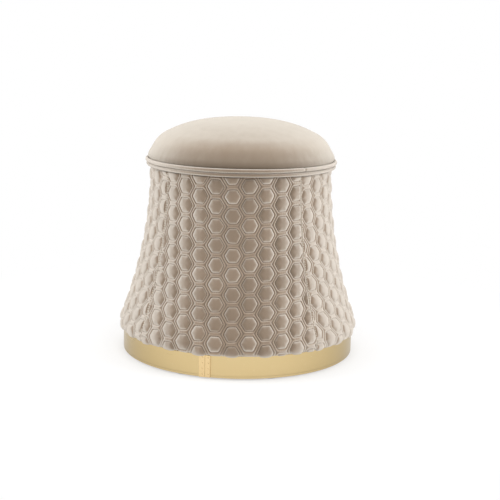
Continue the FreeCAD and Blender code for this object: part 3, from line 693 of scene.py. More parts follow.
@dataclass
class Bell:
    """Outline of the skirt's ground surface, by the length down from its top edge, in metres."""

    flare_radius: float = 771 * MM
    roll_radius: float = 13 * MM
    flange: float = 12.5 * MM
    top_rise: float = 5.5 * MM
    top_inset: float = 6 * MM
    top_overlap: float = 0.2 * MM
    band_gap: float = 0.3 * MM
    thickness: float = 4.5 * MM
    depth: float = 12.5 * MM
    squareness: float = 4.5

    def __post_init__(self) -> None:
        """Takes levels and radii from the frame."""
        welt_low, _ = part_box("lower_welt_cover")
        _, seat_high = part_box("seat_cover")
        _, band_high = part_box("brass_band")
        self.top_level = welt_low.z + self.top_overlap
        self.top_radius = seat_high.x - self.top_inset
        self.centre = self.top_radius + self.flare_radius
        self.hem_level = band_high.z + self.band_gap + self.roll_radius
        reach = self.flare_radius + self.roll_radius
        self.turn = math.asin((self.top_level - self.hem_level) / reach)
        self.hem_radius = self.centre - reach * math.cos(self.turn)
        self.flare_end = self.flare_radius * self.turn
        self.roll_end = self.flare_end + self.roll_radius * (self.turn + QUARTER)
        self.end = self.roll_end + self.flange

    def at(self, down: Array) -> tuple[Array, Array, Array, Array]:
        """The outline at lengths down from the top: the flare, the slumped hem roll and the flange under it.

        Args:
            down: Lengths along the outline.

        Returns:
            Radius, level and the two parts of the outward normal.
        """
        slope = np.minimum(down, self.flare_end) / self.flare_radius
        roll = np.clip(down - self.flare_end, 0, self.roll_end - self.flare_end) / self.roll_radius
        under = np.maximum(down - self.roll_end, 0)
        on_flare = down <= self.flare_end
        bearing = np.where(on_flare, slope, self.turn - roll)
        out, up = np.cos(bearing), np.sin(bearing)
        power = self.squareness
        squared = (np.abs(out) ** power + np.abs(np.minimum(up, 0)) ** power) ** (-1 / power)
        reach = self.roll_radius * np.where(up < 0, squared, 1.0)
        radius = np.where(on_flare, self.centre - self.flare_radius * out,
                          self.hem_radius + reach * out - under)
        level = np.where(on_flare, self.top_level - self.flare_radius * up, self.hem_level + reach * up)
        return radius, level, out, up

    def back(self) -> Array:
        """The panel's hidden back, from the flange up to the top edge.

        Returns:
            Radius and level of each point.
        """
        inner = self.roll_radius - self.thickness
        sweep = np.linspace(-QUARTER, self.turn, 10)
        roll = [(self.hem_radius + inner * math.cos(a), self.hem_level + inner * math.sin(a)) for a in sweep]
        deep = self.flare_radius + self.depth
        levels = np.linspace(self.hem_level + inner, self.top_level, 16)
        wall = [(self.centre - math.sqrt(deep ** 2 - (self.top_level - z) ** 2), z) for z in levels]
        top_back = self.top_radius - self.thickness
        edge = [(top_back, self.top_level), (top_back, self.top_level + self.top_rise)]
        return np.array([(self.hem_radius - self.flange, self.hem_level - inner), *roll, *wall, *edge])


@dataclass(frozen=True)
class Cell:
    """Where places lie in the pads that they belong to.

    The distance is from the pad's middle, measured across its flats. Side and lean are the sideways and the
    downward part of the direction from the middle, each from -1 to 1.
    """

    distance: Array
    column: Array
    row: Array
    side: Array
    lean: Array

    def chance(self, seed: int) -> Array:
        """A fixed number from 0 to 1 for each pad, by the usual sine hash."""
        return np.mod(np.abs(np.sin(self.column * 12.9898 + self.row * 78.233 + seed) * 43758.5453), 1.0)


@dataclass
class Quilting:
    """Hexagon quilting: pads, the stitched grooves round them and the narrow bands between.

    The profile is the height over the ground by the distance from a pad's middle, both in millimetres.
    """

    pitch: float = 33.8 * MM
    tilt: float = math.radians(2)
    across: float = 32 * MM
    below: float = 17 * MM
    groove: float = 12.9 * MM
    sharpness: float = 16.0
    plump: float = 1.3 * MM
    plump_from: Span = (14.6 * MM, 16.4 * MM)
    plump_turn: Span = (0.30, 0.62)
    slant_turn: Span = (0.25, 0.7)
    flank_shade: float = 0.35
    flank_turn: Span = (0.1, 0.9)
    flank_from: Span = (4 * MM, 11 * MM)
    pile_limits: Span = (-0.8, 2.2)
    stray: float = 0.75 * MM
    stray_waves: Span = (48 * MM, 55 * MM)
    stray_seeds: tuple[int, int] = (31, 32)
    samples: int = 801
    rounding: int = 21
    profile: Knots = (
        (0.0, 4.70), (3.0, 4.58), (5.0, 4.36), (7.0, 4.00), (9.0, 3.42), (10.5, 2.75), (11.7, 1.80),
        (12.5, 0.70), (12.9, -0.1), (13.2, 0.15), (13.9, 1.45), (14.5, 1.95), (15.2, 1.90), (16.0, 1.15),
        (16.9, 0.35), (20.0, 0.35),
    )

    def __post_init__(self) -> None:
        """Rounds the profile off and finds the spacing of the columns."""
        places, heights = np.array(self.profile).T
        steps = np.linspace(0, places[-1], self.samples)
        kernel = np.hanning(self.rounding)
        padded = np.pad(np.interp(steps, places, heights), self.rounding // 2, mode="edge")
        self._steps = steps * MM
        self._heights = np.convolve(padded, kernel / kernel.sum(), "valid") * MM
        self._width = self.pitch * math.cos(math.pi / 6)

    def cells(self, across: Array, down: Array) -> Cell:
        """Finds the pad that each place belongs to.

        Args:
            across, down: Places on the flat panel.

        Returns:
            Where the places lie in their pads.
        """
        drift = self._drift(across, down)
        x, y = across + drift[0] - self.across, down + drift[1] - self.below
        aside = x * math.cos(self.tilt) - y * math.sin(self.tilt)
        below = x * math.sin(self.tilt) + y * math.cos(self.tilt)
        best = np.full(np.shape(aside), np.inf)
        column, row, side, lean = (np.zeros(np.shape(aside)) for _ in range(4))
        for step in (0, 1):
            c = np.floor(aside / self._width) + step
            shift = np.mod(c, 2) / 2
            r = np.round(below / self.pitch - shift)
            dx, dy = aside - c * self._width, below - (r + shift) * self.pitch
            distance = self._across_flats(dx, dy)
            nearer = distance < best
            best = np.where(nearer, distance, best)
            column, row = np.where(nearer, c, column), np.where(nearer, r, row)
            reach = np.hypot(dx, dy) + TINY
            side, lean = np.where(nearer, dx / reach, side), np.where(nearer, dy / reach, lean)
        return Cell(best, column, row, side, lean)

    def _drift(self, across: Array, down: Array) -> tuple[Array, Array]:
        """How far the sewing strays from the drawn pattern, sideways and downwards."""
        aside, below = (ripples(across, down, wave, seed) * self.stray
                        for wave, seed in zip(self.stray_waves, self.stray_seeds))
        return aside, below

    def _across_flats(self, x: Array, y: Array) -> Array:
        """Distance from a hexagon's middle in terms of its flats, with slightly rounded corners.

        Args:
            x, y: Places from the middle.

        Returns:
            One distance for each place.
        """
        total = np.zeros(np.shape(x))
        for bearing in (math.pi / 6, math.pi / 2, 5 * math.pi / 6):
            total = total + np.abs(x * math.cos(bearing) + y * math.sin(bearing)) ** self.sharpness
        return total ** (1 / self.sharpness)

    def height(self, cell: Cell) -> Array:
        """Height of the cloth over the ground; the level bands between pads are plump.

        Args:
            cell: Where the places lie.

        Returns:
            One height for each place.
        """
        level_band = 1 - smooth_step(np.abs(cell.side), *self.plump_turn)
        plump = self.plump * level_band * smooth_step(cell.distance, *self.plump_from)
        return np.interp(cell.distance, self._steps, self._heights) + plump

    def pile(self, cell: Cell) -> Array:
        """Painted shade and light: below 1, painted shade in the grooves and on the left flanks; above 1,
        painted highlights on the bends that catch the light.

        Args:
            cell: Where the places lie.

        Returns:
            One value for each place.
        """
        slant = smooth_step(np.abs(cell.side), *self.slant_turn)
        level = 1 - slant
        # Painted shade in the grooves and painted highlights on the bends; the lean terms paint the lower
        # edges paler, as light from above falls
        painted_lines = (
            # Distance from the middle and width, in millimetres, and strength
            (11.9, 0.75, 0.55 + 0.25 * cell.lean + 0.20 * cell.side),
            (12.95, 0.55, -1.2 - 0.7 * slant + 0.5 * cell.lean * level),
            (14.7, 0.85, 1.25 + 0.1 * cell.lean),
            (16.9, 0.60, -1.4 * slant + 0.55 * level),
        )
        # Painted shade on the pads' left flanks
        flank = smooth_step(-cell.side, *self.flank_turn) * smooth_step(cell.distance, *self.flank_from)
        total = 1 - self.flank_shade * flank * (cell.distance < self.groove)
        for place, width, strength in painted_lines:
            total = total + strength * peak(cell.distance, place * MM, width * MM)
        return np.clip(total, *self.pile_limits)

    def outline(self, column: int, row: int) -> tuple[Array, Array]:
        """The sewn groove round one pad.

        Args:
            column, row: Which pad.

        Returns:
            Places across and down the flat panel.
        """
        bearing = np.linspace(0, math.tau, 73)
        reach = self.groove / self._across_flats(np.cos(bearing), np.sin(bearing))
        aside = column * self._width + reach * np.cos(bearing)
        below = (row + (column % 2) / 2) * self.pitch + reach * np.sin(bearing)
        across = aside * math.cos(self.tilt) + below * math.sin(self.tilt) + self.across
        down = below * math.cos(self.tilt) - aside * math.sin(self.tilt) + self.below
        drift = self._drift(across, down)
        return across - drift[0], down - drift[1]


@dataclass
class Skirt:
    """The four quilted panels with their stitching.

    One panel, on the lit side, is painted paler and its painted marks are fainter, a painted light that
    stands in for the lamp on that side. A fade is the stretch over which something comes or goes, and a wave
    is the length of its slow changes.
    """

    bell: Bell
    quilting: Quilting
    velvet: bpy.types.Material
    thread: bpy.types.Material
    seam_thread: bpy.types.Material
    stitches: StitchRow
    rows: int = 326
    columns: int = 280
    rear_gap: float = 0.001
    quilt_stitch: Stitch = Stitch(3.1 * MM, 2.5 * MM, 0.62 * MM, 11)
    quilt_lift: float = 0.1 * MM
    seam_stitch: Stitch = Stitch(4.2 * MM, 4.2 * MM, 1.1 * MM, 5)
    seam_lift: float = 0.25 * MM
    seam_stop: float = 12 * MM
    stitch_to_seam: float = 1.3 * MM
    clear_of_seam: float = 3.5 * MM
    clear_of_top: float = 4 * MM
    clear_of_hem: float = 11 * MM
    pads_aside: int = 9
    pads_above: int = 3
    shortest_run: int = 3
    top_fade: Span = (0.3 * MM, 2.8 * MM)
    hem_fade: Span = (-9 * MM, -2 * MM)
    seam: float = 0.10 * MM
    seam_fade: Span = (0.9 * MM, 3.6 * MM)
    seam_height: float = 1.6 * MM
    seam_roll: float = 1.6 * MM
    seam_dip: float = 0.3 * MM
    dip_fade: Span = (-6 * MM, 2 * MM)
    join_shade: float = 0.1
    join_width: float = 0.6 * MM
    join_fade: Span = (-12 * MM, 0.0)
    painted_lit_side: Side = Side.RIGHT
    painted_light_lift: float = 0.35
    painted_mark_share: float = 0.6
    pad_spread: float = 0.20
    pad_fade: Span = (0.0, 3 * MM)
    pile_spread: float = 0.4
    creases: int = 26
    crease: float = 0.13 * MM
    crease_fade: Span = (8 * MM, 12 * MM)
    crease_wave: float = 30 * MM
    dent: float = 0.22 * MM
    dent_wave: float = 28 * MM
    pucker: float = 0.22 * MM
    pucker_pitch: float = 7.5 * MM
    pucker_wave: float = 50 * MM
    pucker_fade: Span = (3 * MM, 11 * MM)
    slack: float = 0.7 * MM
    slack_wave: float = 160 * MM
    sag: float = 0.7 * MM
    sag_wave: float = 70 * MM
    sag_fade: Span = (-25 * MM, 12 * MM)

    def build(self) -> list[bpy.types.Object]:
        """Makes every panel and its stitches.

        Returns:
            The pieces.
        """
        pieces = []
        for side in Side:
            panel = self._panel(side)
            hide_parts(f"quilted_panel_{side.label}", f"side_padding_{side.label}")
            tie(panel)
            sewn = [self._quilt_stitches(side), self._seam_stitches(side)]
            for piece in sewn:
                tie(piece)
            pieces += [panel, *sewn]
        return pieces

    def surface(self, side: Side, turn: Array, down: Array) -> tuple[Array, Array, Array]:
        """The quilted face of a panel.

        Args:
            side: Which panel.
            turn: Bearings from the panel's middle, in radians.
            down: Lengths down from the skirt's top.

        Returns:
            Points, outward directions and the painted shade and light of the velvet, with each pad's random
            tone.
        """
        radius, level, out, up = self.bell.at(down)
        across = radius * turn
        cell = self.quilting.cells(across, down)
        chance = cell.chance(side.seed)
        edge = radius * (QUARTER / 2 - np.abs(turn)) - self.seam
        inset = smooth_step(edge, *self.seam_fade)
        ends = self._between_ends(down)
        height = self._pads(cell, chance, across, down, side.seed)
        height = (self.seam_height + (height - self.seam_height) * inset) * ends
        height = height - self._dip(edge, down) + self._slack(edge, across, down, side.seed) * inset * ends
        hem = smooth_step(down - self.bell.flare_end, *self.sag_fade)
        sag = along_ripples(across, self.sag_wave, side.seed + Draw.SAG) * self.sag * hem * inset
        bearing = turn + math.radians(side.value)
        points = round_axis(radius + height * out, bearing, level + height * up + sag)
        normals = round_axis(out, bearing, up)
        pile = 1 + (self.quilting.pile(cell) - 1 + (chance - 0.5) * self.pile_spread) * ends * inset
        # Painted light: the panel on the lit side is painted paler, with fainter painted marks
        if side is self.painted_lit_side:
            pile = 1 + self.painted_light_lift + (pile - 1) * self.painted_mark_share
        return points, normals, pile - self._painted_seam_shade(edge, down) * (1 - inset)

    def _between_ends(self, down: Array) -> Array:
        """Where the quilting is full: 1, and 0 at the top edge and under the hem."""
        top = smooth_step(down, *self.top_fade)
        return top * (1 - smooth_step(down - self.bell.roll_end, *self.hem_fade))

    def _pads(self, cell: Cell, chance: Array, across: Array, down: Array, seed: int) -> Array:
        """Height of the quilting, unevenly filled and with fine creases round the pads.

        Args:
            cell: Where the places lie in their pads.
            chance: Each pad's own number from 0 to 1.
            across, down: Places on the flat panel.
            seed: Start of the panel's seeds.

        Returns:
            One height over the ground for each place.
        """
        inside = smooth_step(self.quilting.groove - cell.distance, *self.pad_fade)
        height = self.quilting.height(cell) * (1 + inside * (chance - 0.5) * self.pad_spread)
        fan = np.sin(self.creases * np.arctan2(cell.lean, cell.side) + 6 * chance)
        fan = fan * smooth_step(cell.distance, *self.crease_fade)
        uneven = 0.6 + 0.4 * ripples(across, down, self.crease_wave, seed + Draw.CREASES)
        dents = inside * ripples(across, down, self.dent_wave, seed + Draw.DENTS)
        return height + fan * self.crease * uneven + dents * self.dent

    def _dip(self, edge: Array, down: Array) -> Array:
        """How far the cloth rolls down into the seam.

        Args:
            edge: Distances from the seam.
            down: Lengths down from the skirt's top.

        Returns:
            One depth for each place.
        """
        lap = 1 - np.clip(edge / self.seam_roll, 0, 1)
        return self.seam_dip * (1 - np.sqrt(1 - lap ** 2)) * smooth_step(down, *self.dip_fade)

    def _slack(self, edge: Array, across: Array, down: Array, seed: int) -> Array:
        """Puckers beside the seam and slow waves in the cloth.

        Args:
            edge: Distances from the seam.
            across, down: Places on the flat panel.
            seed: Start of the panel's seeds.

        Returns:
            One height for each place.
        """
        phase = 2 * along_ripples(down, self.pucker_wave, seed + Draw.PUCKERS)
        puckers = np.sin(down * (math.tau / self.pucker_pitch) + phase)
        puckers = puckers * (1 - smooth_step(edge, *self.pucker_fade))
        loose = ripples(across, down, self.slack_wave, seed + Draw.SLACK)
        return puckers * self.pucker + loose * self.slack

    def _painted_seam_shade(self, edge: Array, down: Array) -> Array:
        """Painted shade in the seam's crease, by distances from it and lengths down the skirt."""
        sewn = (down > 0) * (1 - smooth_step(down - self.bell.flare_end, *self.join_fade))
        return self.join_shade * peak(edge, 0.0, self.join_width) * sewn

    def _panel(self, side: Side) -> bpy.types.Object:
        """Makes one panel as a closed solid.

        Args:
            side: Which panel.

        Returns:
            The piece.
        """
        spread = np.linspace(-1, 1, self.columns)[None, :]
        down = np.linspace(-self.bell.top_rise, self.bell.end, self.rows)[:, None]
        turn = spread * (QUARTER / 2 - self.seam / self.bell.at(down)[0])
        face, _, pile = self.surface(side, turn, np.broadcast_to(down, turn.shape))
        hidden = self.bell.back()
        bearing = spread * (QUARTER / 2 - self.rear_gap) + math.radians(side.value)
        rear = round_axis(hidden[:, :1], bearing, hidden[:, 1:])
        points = np.concatenate([face, rear])
        rows = len(points)
        faces = grid_faces(rows, self.columns, True, False)
        for first in (0, self.columns - 1):
            faces.append(tuple(range(first, rows * self.columns, self.columns)))
        shade = np.concatenate([pile.ravel(), np.ones(rear[..., 0].size)])
        return new_piece(f"skirt_panel_{side.label}", points.reshape(-1, 3), faces, self.velvet, shade)

    def _on_face(self, side: Side, across: Array, down: Array, lift: float) -> tuple[Array, Array]:
        """Finds points just off a panel's face.

        Args:
            side: Which panel.
            across, down: Places on the flat panel.
            lift: Distance off the face.

        Returns:
            The points and their outward directions.
        """
        points, normals, _ = self.surface(side, across / self.bell.at(down)[0], down)
        return points + normals * lift, normals

    def _quilt_stitches(self, side: Side) -> bpy.types.Object:
        """Sews the grooves round the pads, where they are clear of the panel's edges.

        Args:
            side: Which panel.

        Returns:
            The stitches as one piece.
        """
        lines = []
        last_row = int(self.bell.end / self.quilting.pitch) + 2
        last_down = self.bell.roll_end - self.clear_of_hem
        for column in range(-self.pads_aside, self.pads_aside + 1):
            for row in range(-self.pads_above, last_row):
                across, down = self.quilting.outline(column, row)
                points, normals = self._on_face(side, across, down, self.quilt_lift)
                edge = self.bell.at(down)[0] * QUARTER / 2 - np.abs(across)
                clear = (edge > self.clear_of_seam) & (down > self.clear_of_top) & (down < last_down)
                for run in np.split(np.arange(len(down)), np.flatnonzero(np.diff(clear)) + 1):
                    if clear[run[0]] and len(run) > self.shortest_run:
                        lines.append((points[run], normals[run]))
        return self.stitches.sew(f"quilt_stitches_{side.label}", lines, self.thread, self.quilt_stitch)

    def _seam_stitches(self, side: Side) -> bpy.types.Object:
        """Sews the top stitches beside the panel's two seams.

        Args:
            side: Which panel.

        Returns:
            The stitches as one piece.
        """
        pitch, points_per_stitch = self.seam_stitch.pitch, 4
        count = int((self.bell.roll_end - self.seam_stop) / pitch) * points_per_stitch
        down = np.arange(1, count + 1) * pitch / points_per_stitch
        reach = self.bell.at(down)[0] * QUARTER / 2 - self.stitch_to_seam
        lines = [self._on_face(side, way * reach, down, self.seam_lift) for way in (-1, 1)]
        return self.stitches.sew(f"seam_stitches_{side.label}", lines, self.seam_thread, self.seam_stitch)


@dataclass
class SeatDome:
    """The domed seat, blown up a little as stuffed cloth and pinched where it is sewn to the welt.

    The shade is a painted shade and light by the height over the foot in millimetres: darker just above the
    welt, paler on the shoulder.
    """

    velvet: bpy.types.Material
    cells: int = 76
    shoulder: float = 52 * MM
    slack: float = 1.4 * MM
    swell: float = 6.0 * MM
    quality: int = 6
    steps: int = 20
    mass: float = 0.02
    stiffness: float = 25.0
    bending: float = 2.0
    pressure: float = 36.0
    shrink: float = 0.012
    calm: int = 30
    rim: Span = (130 * MM, 150 * MM)
    bulge: float = 4.0 * MM
    bulge_level: float = 5 * MM
    bulge_height: float = 10 * MM
    pinch: Span = (-3 * MM, 1.5 * MM)
    pinch_share: float = 0.65
    settled: float = 5.2 * MM
    settled_fade: Span = (5 * MM, 130 * MM)
    gathers: int = 88
    gather: float = 0.04 * MM
    gather_fade: Span = (2 * MM, 26 * MM)
    lump: float = 0.2 * MM
    lump_wave: float = 150 * MM
    crown_fade: Span = (4 * MM, 40 * MM)
    hub: float = 50 * MM
    shade: Knots = (
        (-5.0, -0.30), (0.0, -0.15), (11.0, 0.40), (22.0, 1.00), (33.0, 1.50), (46.0, 1.30), (62.0, 1.00),
    )

    def __post_init__(self) -> None:
        """Takes the dome's size from the frame."""
        low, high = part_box("seat_cover")
        self.radius = high.x
        self.low = low.z
        self.top = high.z
        self.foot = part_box("upper_welt_cover")[1].z - 0.2 * MM

    def build(self) -> list[bpy.types.Object]:
        """Makes the seat.

        Returns:
            The one piece.
        """
        piece = self._blank()
        self._blow_up(piece)
        modifier = piece.modifiers.new("round", "SUBSURF")
        modifier.levels = modifier.render_levels = 1
        settle(piece)
        self._sew_down(piece.data)
        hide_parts("seat_cover", "seat_wadding", "seat_foam_crown", "seat_foam_base")
        tie(piece)
        return [piece]

    def _profile(self, share: Array) -> tuple[Array, Array]:
        """The dome's outline: a crown arc, a shoulder arc and a short upright foot.

        Args:
            share: Shares of the way from the middle, 0, to the lower edge, 1.

        Returns:
            Radius and level of each place.
        """
        rise = self.top - self.foot
        reach = self.radius - self.shoulder
        crown = (reach ** 2 + rise ** 2 - self.shoulder ** 2) / (2 * (rise - self.shoulder))
        bend = math.atan2(reach, crown - rise)
        lengths = np.array([crown * bend, self.shoulder * (QUARTER - bend), self.foot - self.low])
        ends = np.cumsum(lengths)
        along = share * ends[-1]
        turn = np.minimum(along, ends[0]) / crown
        bow = bend + np.clip(along - ends[0], 0, lengths[1]) / self.shoulder
        on_crown = along <= ends[0]
        radius = np.where(on_crown, crown * np.sin(turn), reach + self.shoulder * np.sin(bow))
        level = np.where(on_crown, self.top - crown * (1 - np.cos(turn)),
                         self.foot + self.shoulder * np.cos(bow))
        return radius, level - np.maximum(along - ends[1], 0)

    def _blank(self) -> bpy.types.Object:
        """Makes the dome before it is blown up, as a square grid drawn round, with a flat underside.

        Returns:
            The piece, slightly small.
        """
        side = self.cells + 1
        ticks = np.linspace(-1, 1, side)
        x, y = np.meshgrid(ticks, ticks, indexing="ij")
        reach = np.maximum(np.abs(x), np.abs(y))
        steep = np.abs(x) < np.abs(y)
        with np.errstate(divide="ignore", invalid="ignore"):
            bearing = np.where(steep, QUARTER * np.sign(y) - QUARTER / 2 * x / y,
                               QUARTER / 2 * y / x + np.where(x < 0, math.pi, 0))
        bearing = np.nan_to_num(bearing)
        radius, level = self._profile(reach)
        ratio = (self.radius - self.slack) / self.radius
        upper = round_axis(radius * ratio, bearing, self.foot + (level - self.foot) * ratio)
        lower = round_axis(reach * self.radius * ratio, bearing, upper[..., 2].min())
        rim = reach > 1 - TINY
        above = np.arange(side * side).reshape(side, side)
        below = above.copy()
        below[~rim] = side * side + np.arange(np.count_nonzero(~rim))
        faces = []
        for grid in (above, below[:, ::-1]):
            quads = np.stack([grid[:-1, :-1], grid[1:, :-1], grid[1:, 1:], grid[:-1, 1:]], -1)
            faces += [tuple(quad) for quad in quads.reshape(-1, 4).tolist()]
        points = np.concatenate([upper.reshape(-1, 3), lower[~rim]])
        return new_piece("seat_dome", points, faces, self.velvet)

    def _blow_up(self, piece: bpy.types.Object) -> None:
        """Runs the piece as cloth under pressure, held at its foot, and keeps what the foam under it allows.

        Args:
            piece: The blank, whose vertices are moved.
        """
        mesh = piece.data
        rest = vertex_places(mesh)
        offset = self._simulated(piece, rest) - rest
        normals = np.array([vertex.normal for vertex in mesh.vertices])
        outward = np.sum(offset * normals, axis=1, keepdims=True)
        offset = self._calmed(mesh, offset - np.minimum(outward, 0) * normals)
        size = np.linalg.norm(offset, axis=1, keepdims=True)
        offset *= np.minimum(1.0, self.swell / np.maximum(size, TINY))
        mesh.vertices.foreach_set("co", (rest + offset).ravel())

    def _simulated(self, piece: bpy.types.Object, rest: Array) -> Array:
        """Runs the cloth simulation.

        Args:
            piece: The blank.
            rest: Places of its vertices.

        Returns:
            Their places after the last step.
        """
        scene = bpy.context.scene
        held = piece.vertex_groups.new(name="held")
        held.add([int(i) for i in np.flatnonzero(rest[:, 2] < self.foot + 1 * MM)], 1.0, "REPLACE")
        modifier = piece.modifiers.new("cloth", "CLOTH")
        settings = modifier.settings
        settings.quality = self.quality
        settings.mass = self.mass
        settings.tension_stiffness = settings.compression_stiffness = self.stiffness
        settings.shear_stiffness = self.stiffness
        settings.bending_stiffness = self.bending
        settings.shrink_min = self.shrink
        settings.use_pressure = True
        settings.uniform_pressure_force = self.pressure
        settings.vertex_group_mass = "held"
        settings.effector_weights.gravity = 0.0
        modifier.collision_settings.use_collision = False
        modifier.point_cache.frame_end = self.steps + 4
        for step in range(1, self.steps + 1):
            scene.frame_set(step)
        blown = evaluated_copy(piece)
        moved = vertex_places(blown)
        bpy.data.meshes.remove(blown)
        piece.modifiers.clear()
        piece.vertex_groups.clear()
        scene.frame_set(1)
        return moved

    def _calmed(self, mesh: bpy.types.Mesh, offset: Array) -> Array:
        """Evens moves out between neighbouring points, as foam under taut cloth does.

        Args:
            mesh: Whose edges say which points are neighbours.
            offset: The move of each point.

        Returns:
            The calmer moves.
        """
        ends = np.empty(len(mesh.edges) * 2, int)
        mesh.edges.foreach_get("vertices", ends)
        first, second = ends[0::2], ends[1::2]
        number = np.bincount(ends, minlength=len(offset))[:, None]
        for _ in range(self.calm):
            total = np.zeros_like(offset)
            np.add.at(total, first, offset[second])
            np.add.at(total, second, offset[first])
            offset = 0.5 * offset + 0.5 * total / number
        return offset

    def _sew_down(self, mesh: bpy.types.Mesh) -> None:
        """Bulges the foot over the welt with faint gathers, settles the crown and paints shade and light on
        the velvet by height.

        Args:
            mesh: The dome, whose vertices are moved.
        """
        points = vertex_places(mesh)
        radius = np.hypot(points[:, 0], points[:, 1])
        bearing = np.arctan2(points[:, 1], points[:, 0])
        above = points[:, 2] - self.foot
        near_rim = smooth_step(radius, *self.rim)
        near_foot = near_rim * (1 - smooth_step(above, *self.gather_fade))
        gathers = np.sin(bearing * self.gathers + 3 * along_ripples(bearing, 0.9, 8))
        gathers = gathers * self.gather * near_foot
        bulge = self.bulge * peak(above, self.bulge_level, self.bulge_height) * near_rim
        bulge = bulge * (1 - self.pinch_share * (1 - smooth_step(above, *self.pinch)))
        lumps = ripples(points[:, 0], points[:, 1], self.lump_wave, 21) * self.lump
        sunk = self.settled * (1 - smooth_step(radius, *self.settled_fade))
        points[:, :2] *= (1 + (gathers + bulge) / np.maximum(radius, self.hub))[:, None]
        points[:, 2] += (lumps - sunk) * smooth_step(above, *self.crown_fade)
        mesh.vertices.foreach_set("co", points.ravel())
        # Painted shade just above the welt and painted light on the shoulder
        heights, levels = np.array(self.shade).T
        mesh.attributes["pile"].data.foreach_set("value", np.interp(above, heights * MM, levels))
        make_smooth(mesh)
        mesh.update()


@dataclass
class DoubleWelt:
    """Two piped cords between the dome and the skirt, with the stitches that close them."""

    velvet: bpy.types.Material
    thread: bpy.types.Material
    stitches: StitchRow
    joint: float = math.radians(-45)
    around: int = 720
    section: int = 20
    notch: float = 0.42
    notch_width: float = 1.5 * MM
    pulls: int = 190
    pull: float = 0.07 * MM
    uneven: float = 0.12 * MM
    wander: float = 0.25 * MM
    stitch: Stitch = Stitch(4.0 * MM, 3.2 * MM, 0.9 * MM, 3)
    stitch_out: float = 0.4 * MM

    def build(self) -> list[bpy.types.Object]:
        """Makes both cords and their stitching.

        Returns:
            The pieces.
        """
        cords = [self._cord("upper_welt", 1, 0.0), self._cord("lower_welt", 2, 0.9)]
        for piece in cords:
            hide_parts(f"{piece.name}_cover", f"{piece.name}_cord")
            tie(piece)
        sewn = self._sewing()
        tie(sewn)
        return [*cords, sewn]

    @staticmethod
    def _middle(label: str) -> tuple[float, float, float]:
        """Measures a welt in the frame.

        Args:
            label: Which welt.

        Returns:
            Ring radius, level and cord radius.
        """
        low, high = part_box(f"{label}_cord")
        cover_low, cover_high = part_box(f"{label}_cover")
        level = (low.z + high.z) / 2
        cord = cover_high.z - level if label == "upper_welt" else level - cover_low.z
        return cover_high.x - cord, level, cord

    def _cord(self, label: str, seed: int, shift: float) -> bpy.types.Object:
        """Makes one cord as a ring with a joint where its ends meet.

        Args:
            label: Which welt.
            seed: Picks its unevenness.
            shift: How far round its joint lies from the usual place, in radians.

        Returns:
            The piece.
        """
        ring, level, cord = self._middle(label)
        bearing = full_circle(self.around).T
        angle = full_circle(self.section)
        away = np.abs(np.mod(bearing - self.joint - shift + math.pi, math.tau) - math.pi) * ring
        pulls = np.sin(bearing * self.pulls + angle * 2 + 2 * along_ripples(bearing, 0.4, seed)) * self.pull
        size = cord + pulls + along_ripples(bearing, 0.35, seed + 3) * self.uneven
        size = size * (1 - self.notch * peak(away, 0.0, self.notch_width))
        wander = along_ripples(bearing, 0.8, seed + 6) * self.wander
        points = round_axis(ring + size * np.cos(angle), bearing, level + wander + size * np.sin(angle))
        # Painted shade: the cord's inner half, which turns into the creases, is darker
        pile = smooth_step(np.cos(angle) + 0 * bearing, -0.3, 0.55)
        faces = grid_faces(self.around, self.section, True, True)
        return new_piece(label, points.reshape(-1, 3), faces, self.velvet, pile.ravel())

    def _sewing(self) -> bpy.types.Object:
        """Sews a row of stitches in the groove between the cords.

        Returns:
            The stitches as one piece.
        """
        upper, lower = self._middle("upper_welt"), self._middle("lower_welt")
        ring = (upper[0] + lower[0]) / 2 + self.stitch_out
        level = (upper[1] - upper[2] + lower[1] + lower[2]) / 2
        bearing = np.linspace(0, math.tau, 541)
        line = (round_axis(ring, bearing, level), round_axis(1.0, bearing, 0.0))
        return self.stitches.sew("welt_stitches", [line], self.thread, self.stitch)


@dataclass
class Plinth:
    """The brass band as a smooth ring with eased edges and a fine groove near its foot."""

    brass: bpy.types.Material
    around: int = 360
    thickness: float = 1.2 * MM
    ease: float = 0.8 * MM
    groove: float = 0.35 * MM

    def build(self) -> list[bpy.types.Object]:
        """Makes the band.

        Returns:
            The one piece.
        """
        path = self._outline()
        points = round_axis(path[:, :1], full_circle(self.around), path[:, 1:])
        faces = grid_faces(len(path), self.around, True, True)
        band = new_piece("plinth_band", points.reshape(-1, 3), faces, self.brass)
        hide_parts("brass_band")
        tie(band)
        return [band]

    def _outline(self) -> Array:
        """The band's section, from its top edge down its face and up its back.

        Returns:
            Radius and level of each point.
        """
        low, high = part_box("brass_band")
        outer, foot, top = high.x, low.z, high.z
        inner, eased, sunk = outer - self.thickness, outer - self.ease, outer - self.groove
        bends = [(self.ease * math.sin(b), self.ease * math.cos(b)) for b in np.linspace(0, QUARTER, 5)]
        return np.array([
            *((eased + out, top - self.ease + up) for out, up in bends),
            *((outer, z) for z in np.linspace(top - 2 * MM, foot + 3.4 * MM, 12)),
            (sunk, foot + 2.9 * MM), (sunk, foot + 2.5 * MM), (outer, foot + 2.0 * MM),
            *((eased + out, foot + self.ease - down) for down, out in bends),
            (inner, foot), (inner, top),
        ])


